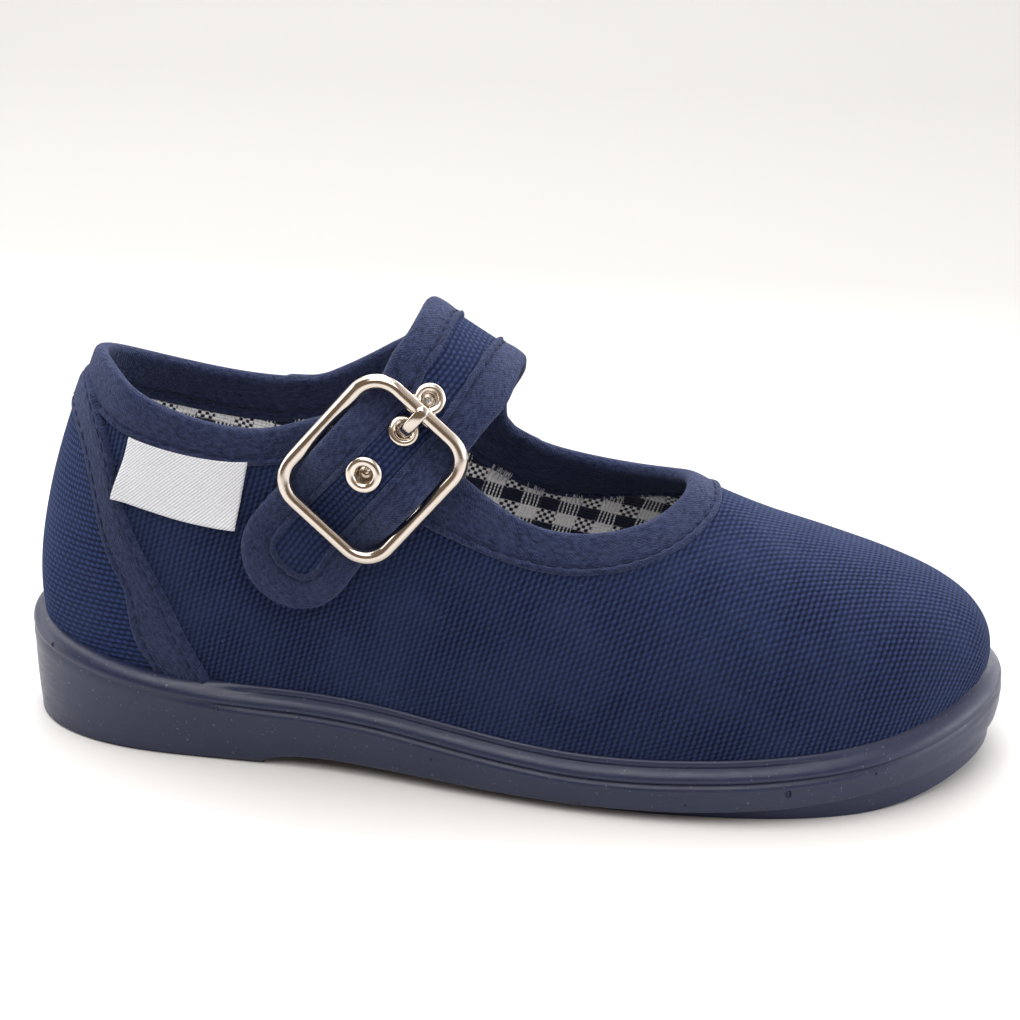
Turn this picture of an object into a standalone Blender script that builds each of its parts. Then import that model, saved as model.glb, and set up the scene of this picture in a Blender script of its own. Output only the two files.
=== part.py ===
"""Child's right mary jane shoe: canvas upper on a moulded rubber sole, one buckled strap.

Frame: +X to the toe, +Y to the inner (medial) side, +Z up, sole on z = 0.
Lengths in the tables are millimetres; everything is scaled to metres as it is built.
"""
import math

import bmesh
import bpy
import numpy as np
from mathutils import Vector

mm = 0.001

# ---------------------------------------------------------------- main sizes
wallThickness = 1.8        # canvas and lining together
upperInset = 2.5           # outer face of the upper, in from the sole's rim
heelInset = 1.4            # and further in where the counter wraps it
seatGap = 0.3              # clearance between pieces that touch
insoleThickness = 3.0
insoleGap = 0.5            # edge of the insole to the inside of the upper
counterProud = 1.0         # thickness of the heel counter
counterGap = 0.5           # counter to upper, allowing for their facets
columnsAround = 72         # divisions round the foot
upperRows = 11             # divisions up the upper
heelBreast = -36.0         # front face of the heel
treadFront = 50.0          # where the toe spring starts
toeSpring = 5.0            # rise of the tread at the toe
strapThickness = 1.5
strapColumns = 8
wireRadius = 1.1           # buckle wire
barRadius = 0.8            # buckle centre bar
barDrop = 1.0              # centre bar below the plane of the frame
frameLength = 24.8         # outside size along the strap
frameWidth = 22.2          # outside size across the strap
frameCorner = 5.0
prongRadius = 0.6
tabThickness = 0.7
eyeletHole = 2.2           # radius cut through the strap

# rim of the sole seen from above, walked from the back of the heel along the
# outer side to the toe and home along the inner side: (x, y)
rimTable = [
    (-78.0, 0.0), (-74.6, -10.5), (-66.0, -17.0), (-50.0, -20.4),
    (-30.0, -21.6), (-10.0, -25.2), (10.0, -29.0), (30.0, -30.4),
    (48.0, -28.4), (62.0, -22.6), (72.5, -13.0), (77.6, -3.0),
    (77.6, 6.0), (73.5, 15.5), (65.0, 23.2), (52.0, 28.0),
    (36.0, 29.0), (18.0, 26.4), (-2.0, 22.0), (-22.0, 19.6),
    (-42.0, 19.8), (-60.0, 18.6), (-72.0, 13.0), (-77.0, 6.5),
]

# height of the line where canvas meets sole: (share of the way round, z)
seamTable = [
    (0.00, 18.0), (0.06, 15.7), (0.10, 13.4), (0.14, 12.5), (0.19, 11.9),
    (0.24, 10.1), (0.29, 9.0), (0.34, 9.7), (0.39, 10.9), (0.44, 12.8),
    (0.50, 15.4), (0.56, 13.2), (0.61, 11.2), (0.66, 9.7), (0.71, 9.2),
    (0.76, 10.6), (0.81, 12.4), (0.86, 12.7), (0.90, 13.6), (0.94, 15.6),
]

# the last, one row per station round the foot:
# share, top edge x, y, z, lean of the wall at the seam (degrees), its pull,
# rise of the wall at the top edge (degrees), its pull
lastTable = [
    (0.00, -65.4, 0.0, 61.6, 6, 19.0, 72, 11.0),
    (0.05, -60.8, -9.6, 61.6, 6, 19.0, 74, 11.0),
    (0.10, -52.8, -14.4, 58.3, 7, 16.5, 79, 11.7),
    (0.15, -36.5, -15.2, 55.6, 7, 15.0, 83, 12.0),
    (0.20, -22.5, -15.6, 58.4, 7, 15.0, 84, 12.0),
    (0.25, -7.2, -15.6, 51.0, 7, 16.0, 78, 12.0),
    (0.30, 6.4, -15.6, 42.2, 6, 16.0, 60, 12.0),
    (0.35, 18.6, -14.0, 41.3, 8, 16.0, 42, 13.0),
    (0.40, 25.3, -9.0, 42.7, 10, 16.7, 31, 18.0),
    (0.45, 28.0, -3.4, 44.0, 10, 16.0, 28, 23.5),
    (0.50, 27.9, 2.2, 44.1, 8, 15.0, 29, 25.5),
    (0.55, 26.5, 7.6, 42.7, 8, 15.0, 32, 23.5),
    (0.60, 22.3, 12.0, 40.9, 8, 16.0, 37, 17.8),
    (0.65, 14.6, 14.3, 40.4, 8, 15.6, 47, 13.0),
    (0.70, 4.5, 14.8, 42.2, 6, 16.0, 60, 12.0),
    (0.75, -5.0, 15.2, 47.9, 7, 16.0, 76, 12.0),
    (0.80, -15.4, 15.4, 53.8, 7, 15.0, 82, 12.0),
    (0.85, -31.8, 14.8, 52.6, 7, 15.0, 83, 12.0),
    (0.90, -47.6, 14.2, 53.0, 7, 16.5, 79, 11.7),
    (0.95, -60.6, 9.4, 57.4, 6, 19.0, 74, 11.4),
]

# inside floor of the sole: (x, z)
floorTable = [(-80, 9.0), (-55, 9.0), (-30, 7.4), (-5, 5.2), (25, 4.2), (50, 4.9), (66, 7.0), (80, 9.6)]

# side wall of the sole from the tread up: (share of the height, inset from the rim)
wallTable = [(0.0, 0.7), (0.35, 0.35), (0.66, 0.15), (0.80, 0.0), (0.93, 0.5)]

# underside of the band above the tread: (x, height above the tread)
bandTable = [
    (-80, 0.0), (-60, 0.0), (-37, 0.0), (-32, 1.4), (-26, 1.7), (-14, 1.5),
    (0, 1.1), (14, 1.0), (32, 1.4), (50, 1.7), (80, 2.0),
]

# front edge of the heel counter: (height up the last, share round the foot)
counterTable = [
    (0.010, 0.119), (0.15, 0.109), (0.28, 0.101), (0.39, 0.092), (0.47, 0.085),
    (0.56, 0.079), (0.69, 0.070), (0.77, 0.059), (0.825, 0.046), (0.865, 0.031), (0.885, 0.014),
]

# strap over the instep: centre x, y, z, then the direction across it towards
# the toe, then half its width
strapTable = [
    (-11.3, 14.0, 53.6, 0.867, -0.01, -0.498, 9.4),
    (-8.5, 11.4, 58.3, 0.816, -0.02, -0.577, 8.8),
    (-6.4, 7.8, 62.1, 0.830, -0.02, -0.560, 8.6),
    (-5.4, 3.9, 64.7, 0.851, 0.00, -0.524, 8.5),
    (-5.3, -1.0, 66.3, 0.850, 0.00, -0.527, 8.5),
    (-6.1, -6.0, 66.3, 0.840, -0.02, -0.540, 8.5),
    (-7.5, -11.0, 64.9, 0.820, -0.04, -0.570, 8.5),
    (-9.0, -14.6, 62.4, 0.790, -0.06, -0.610, 8.4),
]
strapRoot = (0.742, 0.836)                 # share round the foot of its front and back corners
strapTipCentre = (-29.9, 36.4)             # x, z of the centre of its round end
strapTipRadius = 9.0

# buckle frame
buckleCentre = Vector((-18.0, -20.2, 51.2))
buckleFacing = Vector((0.0, -0.986, 0.167)).normalized()
strapRun = Vector((-0.655, -0.125, -0.745))
eyeletSpots = ((-14.5, 0.1, 0.1), (-7.3, -1.3, 0.3), (-0.1, -0.6, 0.1))   # along, across, how proud
prongSide = -1.2                           # across the strap


# ---------------------------------------------------------------- curves
def splineThrough(xs, ys):
    """Natural cubic through the points, called with arrays."""
    xs = np.asarray(xs, float)
    ys = np.asarray(ys, float)
    count = len(xs)
    step = np.diff(xs)
    matrix = np.eye(count)
    right = np.zeros(count)
    for i in range(1, count - 1):
        matrix[i, i - 1:i + 2] = step[i - 1], 2 * (step[i - 1] + step[i]), step[i]
        right[i] = 6 * ((ys[i + 1] - ys[i]) / step[i] - (ys[i] - ys[i - 1]) / step[i - 1])
    bend = np.linalg.solve(matrix, right)

    def curve(x):
        x = np.asarray(x, float)
        i = np.clip(np.searchsorted(xs, x) - 1, 0, count - 2)
        d = x - xs[i]
        h = step[i]
        slope = (ys[i + 1] - ys[i]) / h - h * (2 * bend[i] + bend[i + 1]) / 6
        return ys[i] + d * slope + d * d * bend[i] / 2 + d ** 3 * (bend[i + 1] - bend[i]) / (6 * h)
    return curve


def loopThrough(xs, ys, period=1.0):
    """Closed cubic through the points."""
    start = xs[0]
    longXs = [x + lap * period for lap in (-1, 0, 1) for x in xs]
    curve = splineThrough(longXs, list(ys) * 3)
    return lambda x: curve(np.mod(np.asarray(x, float) - start, period) + start)


def makeRim():
    """Rim of the sole as a function of the share of the way round."""
    points = np.array(rimTable)
    chords = np.linalg.norm(np.roll(points, -1, 0) - points, axis=1)
    marks = np.concatenate([[0.0], np.cumsum(chords)])
    curves = [loopThrough(list(marks[:-1]), list(points[:, k]), marks[-1]) for k in (0, 1)]
    fine = np.linspace(0, marks[-1], 2881)
    line = np.stack([curve(fine) for curve in curves], 1)
    lengths = np.concatenate([[0.0], np.cumsum(np.linalg.norm(np.diff(line, axis=0), axis=1))])
    share = lengths / lengths[-1]

    def rim(u):
        u = np.mod(np.asarray(u, float), 1.0)
        return np.stack([np.interp(u, share, line[:, 0]), np.interp(u, share, line[:, 1])], -1)
    return rim


rimAt = makeRim()
seamAt = loopThrough([row[0] for row in seamTable], [row[1] for row in seamTable])
lastAt = [loopThrough([row[0] for row in lastTable], [row[k] for row in lastTable]) for k in range(1, 8)]
floorAt = splineThrough([row[0] for row in floorTable], [row[1] for row in floorTable])


def wallInset(u):
    """How far the outer face of the upper stands in from the rim."""
    away = np.abs(np.mod(np.asarray(u, float) + 0.5, 1.0) - 0.5)
    return upperInset + heelInset * (1 + np.cos(math.pi * np.clip((away - 0.09) / 0.05, 0, 1))) / 2


def inwardAt(u):
    """Direction in from the rim, level."""
    along = rimAt(np.asarray(u) + 0.004) - rimAt(np.asarray(u) - 0.004)
    along /= np.linalg.norm(along, axis=-1)[..., None]
    return np.stack([-along[..., 1], along[..., 0]], -1)


def insetAt(u, distance):
    return rimAt(u) + inwardAt(u) * np.asarray(distance, float)[..., None]


def lastPoint(u, v):
    """Outer face of the upper: u round the foot, v from the seam (0) to the top edge (1)."""
    u, v = np.broadcast_arrays(np.asarray(u, float), np.asarray(v, float))
    inward = inwardAt(u)
    foot = np.concatenate([rimAt(u) + inward * wallInset(u)[..., None], seamAt(u)[..., None]], -1)
    topX, topY, topZ, lean, footPull, rise, topPull = [curve(u) for curve in lastAt]
    top = np.stack([topX, topY, topZ], -1)
    lean = np.radians(lean)[..., None]
    rise = np.radians(rise)[..., None]
    level = (top - foot)[..., :2] + 6 * inward
    level /= np.linalg.norm(level, axis=-1)[..., None]
    leaving = np.concatenate([-inward * np.sin(lean), np.cos(lean)], -1)
    arriving = np.concatenate([level * np.cos(rise), np.sin(rise)], -1)
    low = foot + leaving * footPull[..., None]
    high = top - arriving * topPull[..., None]
    v = v[..., None]
    return (1 - v) ** 3 * foot + 3 * (1 - v) ** 2 * v * low + 3 * (1 - v) * v * v * high + v ** 3 * top


def lastNormal(u, v):
    """Outward direction of the last."""
    u, v = np.broadcast_arrays(np.asarray(u, float), np.asarray(v, float))
    across = lastPoint(u + 0.002, v) - lastPoint(u - 0.002, v)
    upward = lastPoint(u, v + 0.002) - lastPoint(u, v - 0.002)
    normal = np.cross(across, upward)
    return normal / np.linalg.norm(normal, axis=-1)[..., None]


def onLast(u, v, height):
    return lastPoint(u, v) + lastNormal(u, v) * height


def quarterPoint(x, z, height):
    """Point at a height above the outer quarter, found from its x and z."""
    u, v = 0.17, 0.6
    for _ in range(40):
        here = lastPoint(u, v)
        du = (lastPoint(u + 1e-4, v) - here) / 1e-4
        dv = (lastPoint(u, v + 1e-4) - here) / 1e-4
        matrix = np.array([[du[0], dv[0]], [du[2], dv[2]]])
        move = np.linalg.solve(matrix, [x - here[0], z - here[2]])
        u += float(np.clip(move[0], -0.03, 0.03))
        v += float(np.clip(move[1], -0.15, 0.15))
    return lastPoint(u, v) + lastNormal(u, v) * height


# ---------------------------------------------------------------- solids
def makeMaterial(name, color, roughness, metallic=0.0):
    material = bpy.data.materials.new(name)
    material.use_nodes = True
    shader = material.node_tree.nodes["Principled BSDF"]
    shader.inputs["Base Color"].default_value = (*color, 1.0)
    shader.inputs["Roughness"].default_value = roughness
    shader.inputs["Metallic"].default_value = metallic
    material.diffuse_color = (*color, 1.0)
    return material


def makeObject(name, points, faces, material, smooth=True):
    mesh = bpy.data.meshes.new(name)
    mesh.from_pydata([tuple(float(c) * mm for c in point) for point in points], [], faces)
    mesh.validate()
    solid = bmesh.new()
    solid.from_mesh(mesh)
    bmesh.ops.recalc_face_normals(solid, faces=solid.faces)
    solid.to_mesh(mesh)
    solid.free()
    for polygon in mesh.polygons:
        polygon.use_smooth = smooth
    made = bpy.data.objects.new(name, mesh)
    bpy.context.collection.objects.link(made)
    if material:
        made.data.materials.append(material)
    return made


def makeCutter(name, points, faces):
    cutter = makeObject(name, points, faces, None, False)
    cutter.hide_render = True
    cutter.display_type = "WIRE"
    return cutter


def cutWith(target, cutter, operation="DIFFERENCE"):
    modifier = target.modifiers.new(cutter.name, "BOOLEAN")
    modifier.operation = operation
    modifier.solver = "EXACT"
    modifier.object = cutter


def skinSolid(outer, inner, closed):
    """Closed solid between two equal grids; closed grids join round their first axis."""
    rows, columns = outer.shape[:2]
    points = np.concatenate([outer.reshape(-1, 3), inner.reshape(-1, 3)])
    half = rows * columns
    faces = []
    lastRow = rows if closed else rows - 1
    for i in range(lastRow):
        a, b = i * columns, ((i + 1) % rows) * columns
        for j in range(columns - 1):
            faces.append((a + j, b + j, b + j + 1, a + j + 1))
            faces.append((half + a + j, half + a + j + 1, half + b + j + 1, half + b + j))
        for j in (0, columns - 1):
            faces.append((a + j, b + j, half + b + j, half + a + j))
    if not closed:
        for i in (0, rows - 1):
            for j in range(columns - 1):
                a = i * columns + j
                faces.append((a, a + 1, half + a + 1, half + a))
    return points, faces


def ringSolid(rings):
    """Closed solid from rings that run round the foot, the end rings bridged side to side."""
    count = len(rings[0])
    points = np.concatenate(rings)
    faces = []
    for r in range(len(rings) - 1):
        for i in range(count):
            j = (i + 1) % count
            faces.append((r * count + i, r * count + j, (r + 1) * count + j, (r + 1) * count + i))
    for base in (0, (len(rings) - 1) * count):
        faces.append((base, base + 1, base + count - 1))
        for i in range(1, count // 2 - 1):
            faces.append((base + i, base + i + 1, base + count - i - 1, base + count - i))
        middle = count // 2
        faces.append((base + middle - 1, base + middle, base + middle + 1))
    return points, faces


def tubeSolid(path, radii, sides, closed=False):
    """Round tube along a path, ends capped with flat discs."""
    path = np.asarray(path, float)
    count = len(path)
    if closed:
        tangents = np.roll(path, -1, 0) - np.roll(path, 1, 0)
    else:
        tangents = np.gradient(path, axis=0)
    tangents /= np.linalg.norm(tangents, axis=1)[:, None]
    spread = np.linalg.svd(path - path.mean(0))[2][-1]
    points = []
    for i in range(count):
        side = spread - tangents[i] * (spread @ tangents[i])
        side /= np.linalg.norm(side)
        other = np.cross(tangents[i], side)
        for k in range(sides):
            angle = 2 * math.pi * k / sides
            points.append(path[i] + radii[i] * (math.cos(angle) * side + math.sin(angle) * other))
    faces = []
    for i in range(count if closed else count - 1):
        a, b = i * sides, ((i + 1) % count) * sides
        for k in range(sides):
            n = (k + 1) % sides
            faces.append((a + k, a + n, b + n, b + k))
    if not closed:
        faces.append(tuple(range(sides)))
        faces.append(tuple(range((count - 1) * sides, count * sides)))
    return points, faces


# ---------------------------------------------------------------- clear the scene
for item in list(bpy.data.objects):
    bpy.data.objects.remove(item, do_unlink=True)

soleRubber = makeMaterial("navy_rubber", (0.018, 0.026, 0.075), 0.42)
canvas = makeMaterial("navy_canvas", (0.013, 0.022, 0.085), 0.9)
counterCanvas = makeMaterial("counter_canvas", (0.015, 0.026, 0.095), 0.9)
strapCanvas = makeMaterial("strap_canvas", (0.016, 0.026, 0.090), 0.9)
tabTape = makeMaterial("tab_tape", (0.020, 0.028, 0.080), 0.9)
liningCheck = makeMaterial("lining_check", (0.35, 0.36, 0.42), 0.9)
frameChrome = makeMaterial("frame_chrome", (0.80, 0.78, 0.74), 0.15, 1.0)
prongChrome = makeMaterial("prong_chrome", (0.78, 0.76, 0.72), 0.18, 1.0)
eyeletChrome = makeMaterial("eyelet_chrome", (0.82, 0.80, 0.76), 0.2, 1.0)

around = np.arange(columnsAround) / columnsAround

# ---------------------------------------------------------------- outsole
# flat under heel and ball, rising at the toe; the band above the tread is set
# out from it in front of the heel
seam = seamAt(around)


def ringAt(inset, z):
    return np.concatenate([insetAt(around, inset), np.asarray(z, float)[:, None]], 1)


rimX = rimAt(around)[:, 0]
spring = toeSpring * np.clip((rimX - treadFront) / (78.0 - treadFront), 0, 1) ** 2
bandStep = np.clip((rimX - heelBreast) / 5.0, 0, 1)
bandHeight = np.interp(rimX, [row[0] for row in bandTable], [row[1] for row in bandTable])
bandLow = spring + bandHeight
rings = [ringAt(0.9 + 1.7 * bandStep, spring), ringAt(0.8 + 1.5 * bandStep, bandLow + 0.25)]
for rise, inset in wallTable:
    low = bandLow + 0.55
    rings.append(ringAt(np.full(columnsAround, inset), low + (seam - low) * rise))
rings.append(ringAt(np.full(columnsAround, 1.3), seam - 0.12))
rings.append(ringAt(wallInset(around) - seatGap, seam))
floor = floorAt(rimX)
rings.append(ringAt(wallInset(around) - seatGap, floor))
outsole = makeObject("outsole", *ringSolid(rings), soleRubber)

# the arch is lifted clear of the ground between heel and ball
archProfile = [
    (heelBreast - 1.0, -2.0), (heelBreast + 2.2, 1.5), (-24.0, 1.7), (-12.0, 1.4), (8.0, -0.6), (8.0, -2.0),
]
archPoints = [(x, side, z) for side in (-40, 40) for x, z in archProfile]
archFaces = [tuple(range(6)), tuple(range(6, 12))]
archFaces += [(k, (k + 1) % 6, 6 + (k + 1) % 6, 6 + k) for k in range(6)]
cutWith(outsole, makeCutter("arch_cutter", archPoints, archFaces))

# cross grooves moulded into heel and ball leave a row of lugs: (x, half length)
grooves = [
    (-66, 9.0), (-58, 12.5), (-50, 14.0), (-42, 14.5),
    (2, 18.0), (11, 20.0), (20, 21.5), (29, 22.0), (38, 21.5),
]
groovePoints = []
grooveFaces = []
for x, reach in grooves:
    base = len(groovePoints)
    groovePoints += [(x + dx, y, z) for z in (-1.0, 1.1) for dx, y in (
        (-1.3, -reach), (1.3, -reach), (1.3, reach), (-1.3, reach))]
    grooveFaces += [tuple(base + k for k in face) for face in (
        (0, 1, 2, 3), (4, 5, 6, 7), (0, 1, 5, 4), (1, 2, 6, 5), (2, 3, 7, 6), (3, 0, 4, 7))]
cutWith(outsole, makeCutter("groove_cutter", groovePoints, grooveFaces))

# ---------------------------------------------------------------- insole
insoleRings = []
insoleEdge = wallInset(around) + wallThickness + insoleGap
for inset, lift in ((0.8, seatGap), (0.0, seatGap + 0.6), (0.0, seatGap + insoleThickness - 0.6),
                    (0.7, seatGap + insoleThickness)):
    insoleRings.append(ringAt(insoleEdge + inset, floor + lift))
makeObject("insole", *ringSolid(insoleRings), liningCheck)

# ---------------------------------------------------------------- upper
heights = np.linspace(0, 1, upperRows + 1)
uGrid, vGrid = np.meshgrid(around, heights, indexing="ij")
outer = lastPoint(uGrid, vGrid)
normal = lastNormal(uGrid, vGrid)
inner = outer - normal * wallThickness
skirtOuter = ringAt(wallInset(around), floor + seatGap)
skirtInner = ringAt(wallInset(around) + wallThickness, floor + seatGap)
outer = np.concatenate([skirtOuter[:, None], outer], 1)
inner = np.concatenate([skirtInner[:, None], inner], 1)
makeObject("upper", *skinSolid(outer, inner, True), canvas)

# ---------------------------------------------------------------- heel counter
frontShare = np.array([row[1] for row in counterTable])
frontHeight = np.array([row[0] for row in counterTable])
across = np.linspace(-1, 1, 23)
counterU = across[:, None] * frontShare[None, :]
counterV = np.broadcast_to(frontHeight, counterU.shape)
counterOuter = onLast(counterU, counterV, counterGap + counterProud)
counterInner = onLast(counterU, counterV, counterGap)
makeObject("heel_counter", *skinSolid(counterOuter, counterInner, False), counterCanvas)

# ---------------------------------------------------------------- buckle frame
facing = np.array(buckleFacing)
run = np.array(strapRun)
run = run - facing * (run @ facing)
run /= np.linalg.norm(run)
cross = np.cross(facing, run)
middle = np.array(buckleCentre)


def atBuckle(along, side, out):
    """Point in the buckle's own directions: along the strap, across it, out from the foot."""
    return middle + run * along + cross * side + facing * out


halfLength = frameLength / 2 - wireRadius
halfWidth = frameWidth / 2 - wireRadius
corner = frameCorner - wireRadius
framePath = []
for k, (sx, sy) in enumerate(((1, 1), (-1, 1), (-1, -1), (1, -1))):
    for angle in np.linspace(0, math.pi / 2, 6) + k * math.pi / 2:
        framePath.append(atBuckle(sx * (halfLength - corner) + corner * math.cos(angle),
                                  sy * (halfWidth - corner) + corner * math.sin(angle), 0.0))
frameWire = tubeSolid(framePath, [wireRadius] * len(framePath), 10, True)
frame = makeObject("buckle_frame", *frameWire, frameChrome)
barPath = [atBuckle(0.0, side, out) for side, out in (
    (-halfWidth, 0.0), (-halfWidth + 1.2, -0.25 * barDrop), (-halfWidth + 2.2, -barDrop),
    (halfWidth - 2.2, -barDrop), (halfWidth - 1.2, -0.25 * barDrop), (halfWidth, 0.0))]
centreBar = makeCutter("centre_bar", *tubeSolid(barPath, [barRadius] * len(barPath), 8))
cutWith(frame, centreBar, "UNION")

# ---------------------------------------------------------------- buckle prong
# a loop round the centre bar, a shank under the strap, then up through the
# middle eyelet and over the far bar of the frame
loopRadius = barRadius + 0.2 + 0.5
prongPath = []
prongSize = []
for angle in np.radians(np.linspace(180, -90, 13)):
    prongPath.append((loopRadius * math.cos(angle), -barDrop + loopRadius * math.sin(angle)))
    prongSize.append(0.5)
for along, out in ((-3.0, -2.5), (-5.5, -2.45), (-6.7, -2.1), (-7.6, -1.1), (-8.5, 0.3),
                   (-9.5, 1.5), (-10.9, 2.1), (-12.2, 2.05), (-13.4, 1.6)):
    prongPath.append((along, out))
    prongSize.append(prongRadius)
prongSize[-1] = 0.35
prongWire = tubeSolid([atBuckle(along, prongSide, out) for along, out in prongPath], prongSize, 8)
makeObject("buckle_prong", *prongWire, prongChrome)

# ---------------------------------------------------------------- buckle tab
# two legs of tape hold the centre bar; they join in one plate sewn to the quarter
tabPath = []
for along in (6.4, 5.4, 4.4, 3.2, 1.8):
    tabPath.append(("quarter", along, 0.55 + tabThickness / 2 if along < 2 else seatGap + tabThickness / 2))
wrapRadius = barRadius + 0.25 + tabThickness / 2
for angle in np.radians((-90, -120, -150, -180, -215, -250, -285)):
    tabPath.append(("bar", wrapRadius * math.cos(angle), -barDrop + wrapRadius * math.sin(angle)))
tabSides = tuple(prongSide + k for k in (-5.0, -3.2, -1.5, 1.5, 3.4, 5.8))
tabGrid = np.zeros((len(tabPath), len(tabSides), 3))
for i, (kind, along, out) in enumerate(tabPath):
    for j, side in enumerate(tabSides):
        if kind == "bar":
            tabGrid[i, j] = atBuckle(along, side, out)
        else:
            flat = atBuckle(along, side, -3.0)
            tabGrid[i, j] = quarterPoint(flat[0], flat[2], out)
plateRows = 4


def gridNormals(grid, sign):
    along = np.gradient(grid, axis=0)
    side = np.gradient(grid, axis=1)
    normals = np.cross(along, side)
    return sign * normals / np.linalg.norm(normals, axis=2)[..., None]


tabNormal = gridNormals(tabGrid, 1.0)
tabOuter = tabGrid + tabNormal * tabThickness / 2
tabInner = tabGrid - tabNormal * tabThickness / 2
count = len(tabSides)
tabPoints = np.concatenate([tabOuter.reshape(-1, 3), tabInner.reshape(-1, 3)])
halfCount = tabGrid.shape[0] * count
cells = [(i, j) for i in range(len(tabPath) - 1) for j in range(count - 1) if i < plateRows - 1 or j != 2]
tabFaces = []
edgeUse = {}
for i, j in cells:
    quad = (i * count + j, (i + 1) * count + j, (i + 1) * count + j + 1, i * count + j + 1)
    tabFaces.append(quad)
    tabFaces.append(tuple(halfCount + k for k in reversed(quad)))
    for a, b in zip(quad, quad[1:] + quad[:1]):
        edgeUse.setdefault(frozenset((a, b)), []).append((a, b))
for uses in edgeUse.values():
    if len(uses) == 1:
        a, b = uses[0]
        tabFaces.append((b, a, halfCount + a, halfCount + b))
makeObject("buckle_tab", tabPoints, tabFaces, tabTape)

# ---------------------------------------------------------------- strap
# stations from the inner quarter over the instep, through the buckle and down
# to the round end lying on the outer quarter


def liftAt(along):
    """How far the middle of the strap stands out from the plane of the frame."""
    low = -(wireRadius + 0.25 + strapThickness / 2)
    high = -low
    return low + (high - low) * (1 + math.cos(math.pi * min(abs(along) / 10.0, 1.0))) / 2


stations = []
for x, y, z, wx, wy, wz, half in strapTable:
    direction = np.array((wx, wy, wz))
    stations.append((np.array((x, y, z)), direction / np.linalg.norm(direction), half))
for along in (-11.3, -9.0, -7.0, -5.0, -3.0, -1.5, 0.0, 1.5, 3.0, 5.0, 7.0, 9.0, 11.3):
    half = 8.4 + 0.7 * max(0.0, 1 - abs(along) / 1.6)
    stations.append((atBuckle(along, 0.0, liftAt(along)), cross, half))

frontShare0, backShare0 = strapRoot
rows = []
side = np.linspace(-1, 1, strapColumns + 1)
rootShare = backShare0 + (frontShare0 - backShare0) * (side + 1) / 2
rootTop = lastPoint(rootShare, 1.0)
rootUp = rootTop - lastPoint(rootShare, 0.97)
rootUp /= np.linalg.norm(rootUp, axis=1)[:, None]
rootMiddle = rootTop - lastNormal(rootShare, 1.0) * wallThickness / 2
rows.append(rootMiddle + rootUp * 2 * seatGap)
firstCentre, firstDirection, firstHalf = stations[0]
firstRow = firstCentre + firstDirection * (side * firstHalf)[:, None]
for blend in (0.3, 0.65):
    rows.append(rows[0] * (1 - blend) + firstRow * blend)
for centre, direction, half in stations:
    rows.append(centre + direction * (side * half)[:, None])

tipX, tipZ = strapTipCentre
start = stations[-1][0]
way = np.array((tipX - start[0], tipZ - start[2]))
wayLength = np.linalg.norm(way)
way /= wayLength
acrossWay = np.array((-way[1], way[0]))
tipHeight = seatGap + 0.1 + strapThickness / 2
tipMarks = [(0.55 * wayLength - wayLength, 8.7)] + [
    (strapTipRadius * math.sin(angle), strapTipRadius * math.cos(angle))
    for angle in np.radians((0, 18, 34, 48, 60, 70, 79))]
for distance, half in tipMarks:
    row = []
    for s in side:
        x = tipX + way[0] * distance + acrossWay[0] * s * half
        z = tipZ + way[1] * distance + acrossWay[1] * s * half
        row.append(quarterPoint(x, z, tipHeight))
    rows.append(np.array(row))
strapGrid = np.array(rows)
strapNormal = gridNormals(strapGrid, -1.0)
strap = makeObject("strap", *skinSolid(strapGrid + strapNormal * strapThickness / 2,
                                       strapGrid - strapNormal * strapThickness / 2, False), strapCanvas)

# ---------------------------------------------------------------- eyelets


def strapFrame(along, aside):
    """Middle of the strap and its outward direction at a distance along from the buckle."""
    if along > -11.3:
        here = atBuckle(along, aside, liftAt(along))
        ahead = atBuckle(along - 0.4, aside, liftAt(along - 0.4))
        tangent = ahead - here
        tangent /= np.linalg.norm(tangent)
        return here, np.cross(tangent, cross) * (1 if np.cross(tangent, cross) @ facing > 0 else -1)
    a, b = stations[8][0], stations[7][0]
    share = (-11.3 - along) / np.linalg.norm(b - a)
    here = a + (b - a) * share + cross * aside
    tangent = (b - a) / np.linalg.norm(b - a)
    out = np.cross(tangent, cross)
    return here, out * (1 if out @ facing > 0 else -1)


eyeletProfile = [(1.45, 0.95), (1.75, 1.45), (2.2, 1.6), (2.6, 1.45), (2.75, 1.2), (1.95, 1.2),
                 (1.95, -0.6), (1.45, -0.6)]
holePoints = []
holeFaces = []
for number, (along, aside, proud) in enumerate(eyeletSpots, 1):
    here, out = strapFrame(along, aside)
    first = cross - out * (cross @ out)
    first /= np.linalg.norm(first)
    second = np.cross(out, first)
    points = []
    faces = []
    sides = 16
    for k in range(sides):
        angle = 2 * math.pi * k / sides
        ray = first * math.cos(angle) + second * math.sin(angle)
        points += [here + ray * radius + out * (height + proud) for radius, height in eyeletProfile]
    n = len(eyeletProfile)
    for k in range(sides):
        a, b = k * n, ((k + 1) % sides) * n
        for m in range(n):
            faces.append((a + m, b + m, b + (m + 1) % n, a + (m + 1) % n))
    makeObject("eyelet_%d" % number, points, faces, eyeletChrome)
    base = len(holePoints)
    for height in (-1.6, 1.6):
        for k in range(12):
            angle = 2 * math.pi * k / 12
            ray = first * math.cos(angle) + second * math.sin(angle)
            holePoints.append(here + ray * eyeletHole + out * height)
    holeFaces.append(tuple(base + k for k in range(12)))
    holeFaces.append(tuple(base + 12 + k for k in range(12)))
    for k in range(12):
        holeFaces.append((base + k, base + (k + 1) % 12, base + 12 + (k + 1) % 12, base + 12 + k))
cutWith(strap, makeCutter("hole_cutter", holePoints, holeFaces))
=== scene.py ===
import math

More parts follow.
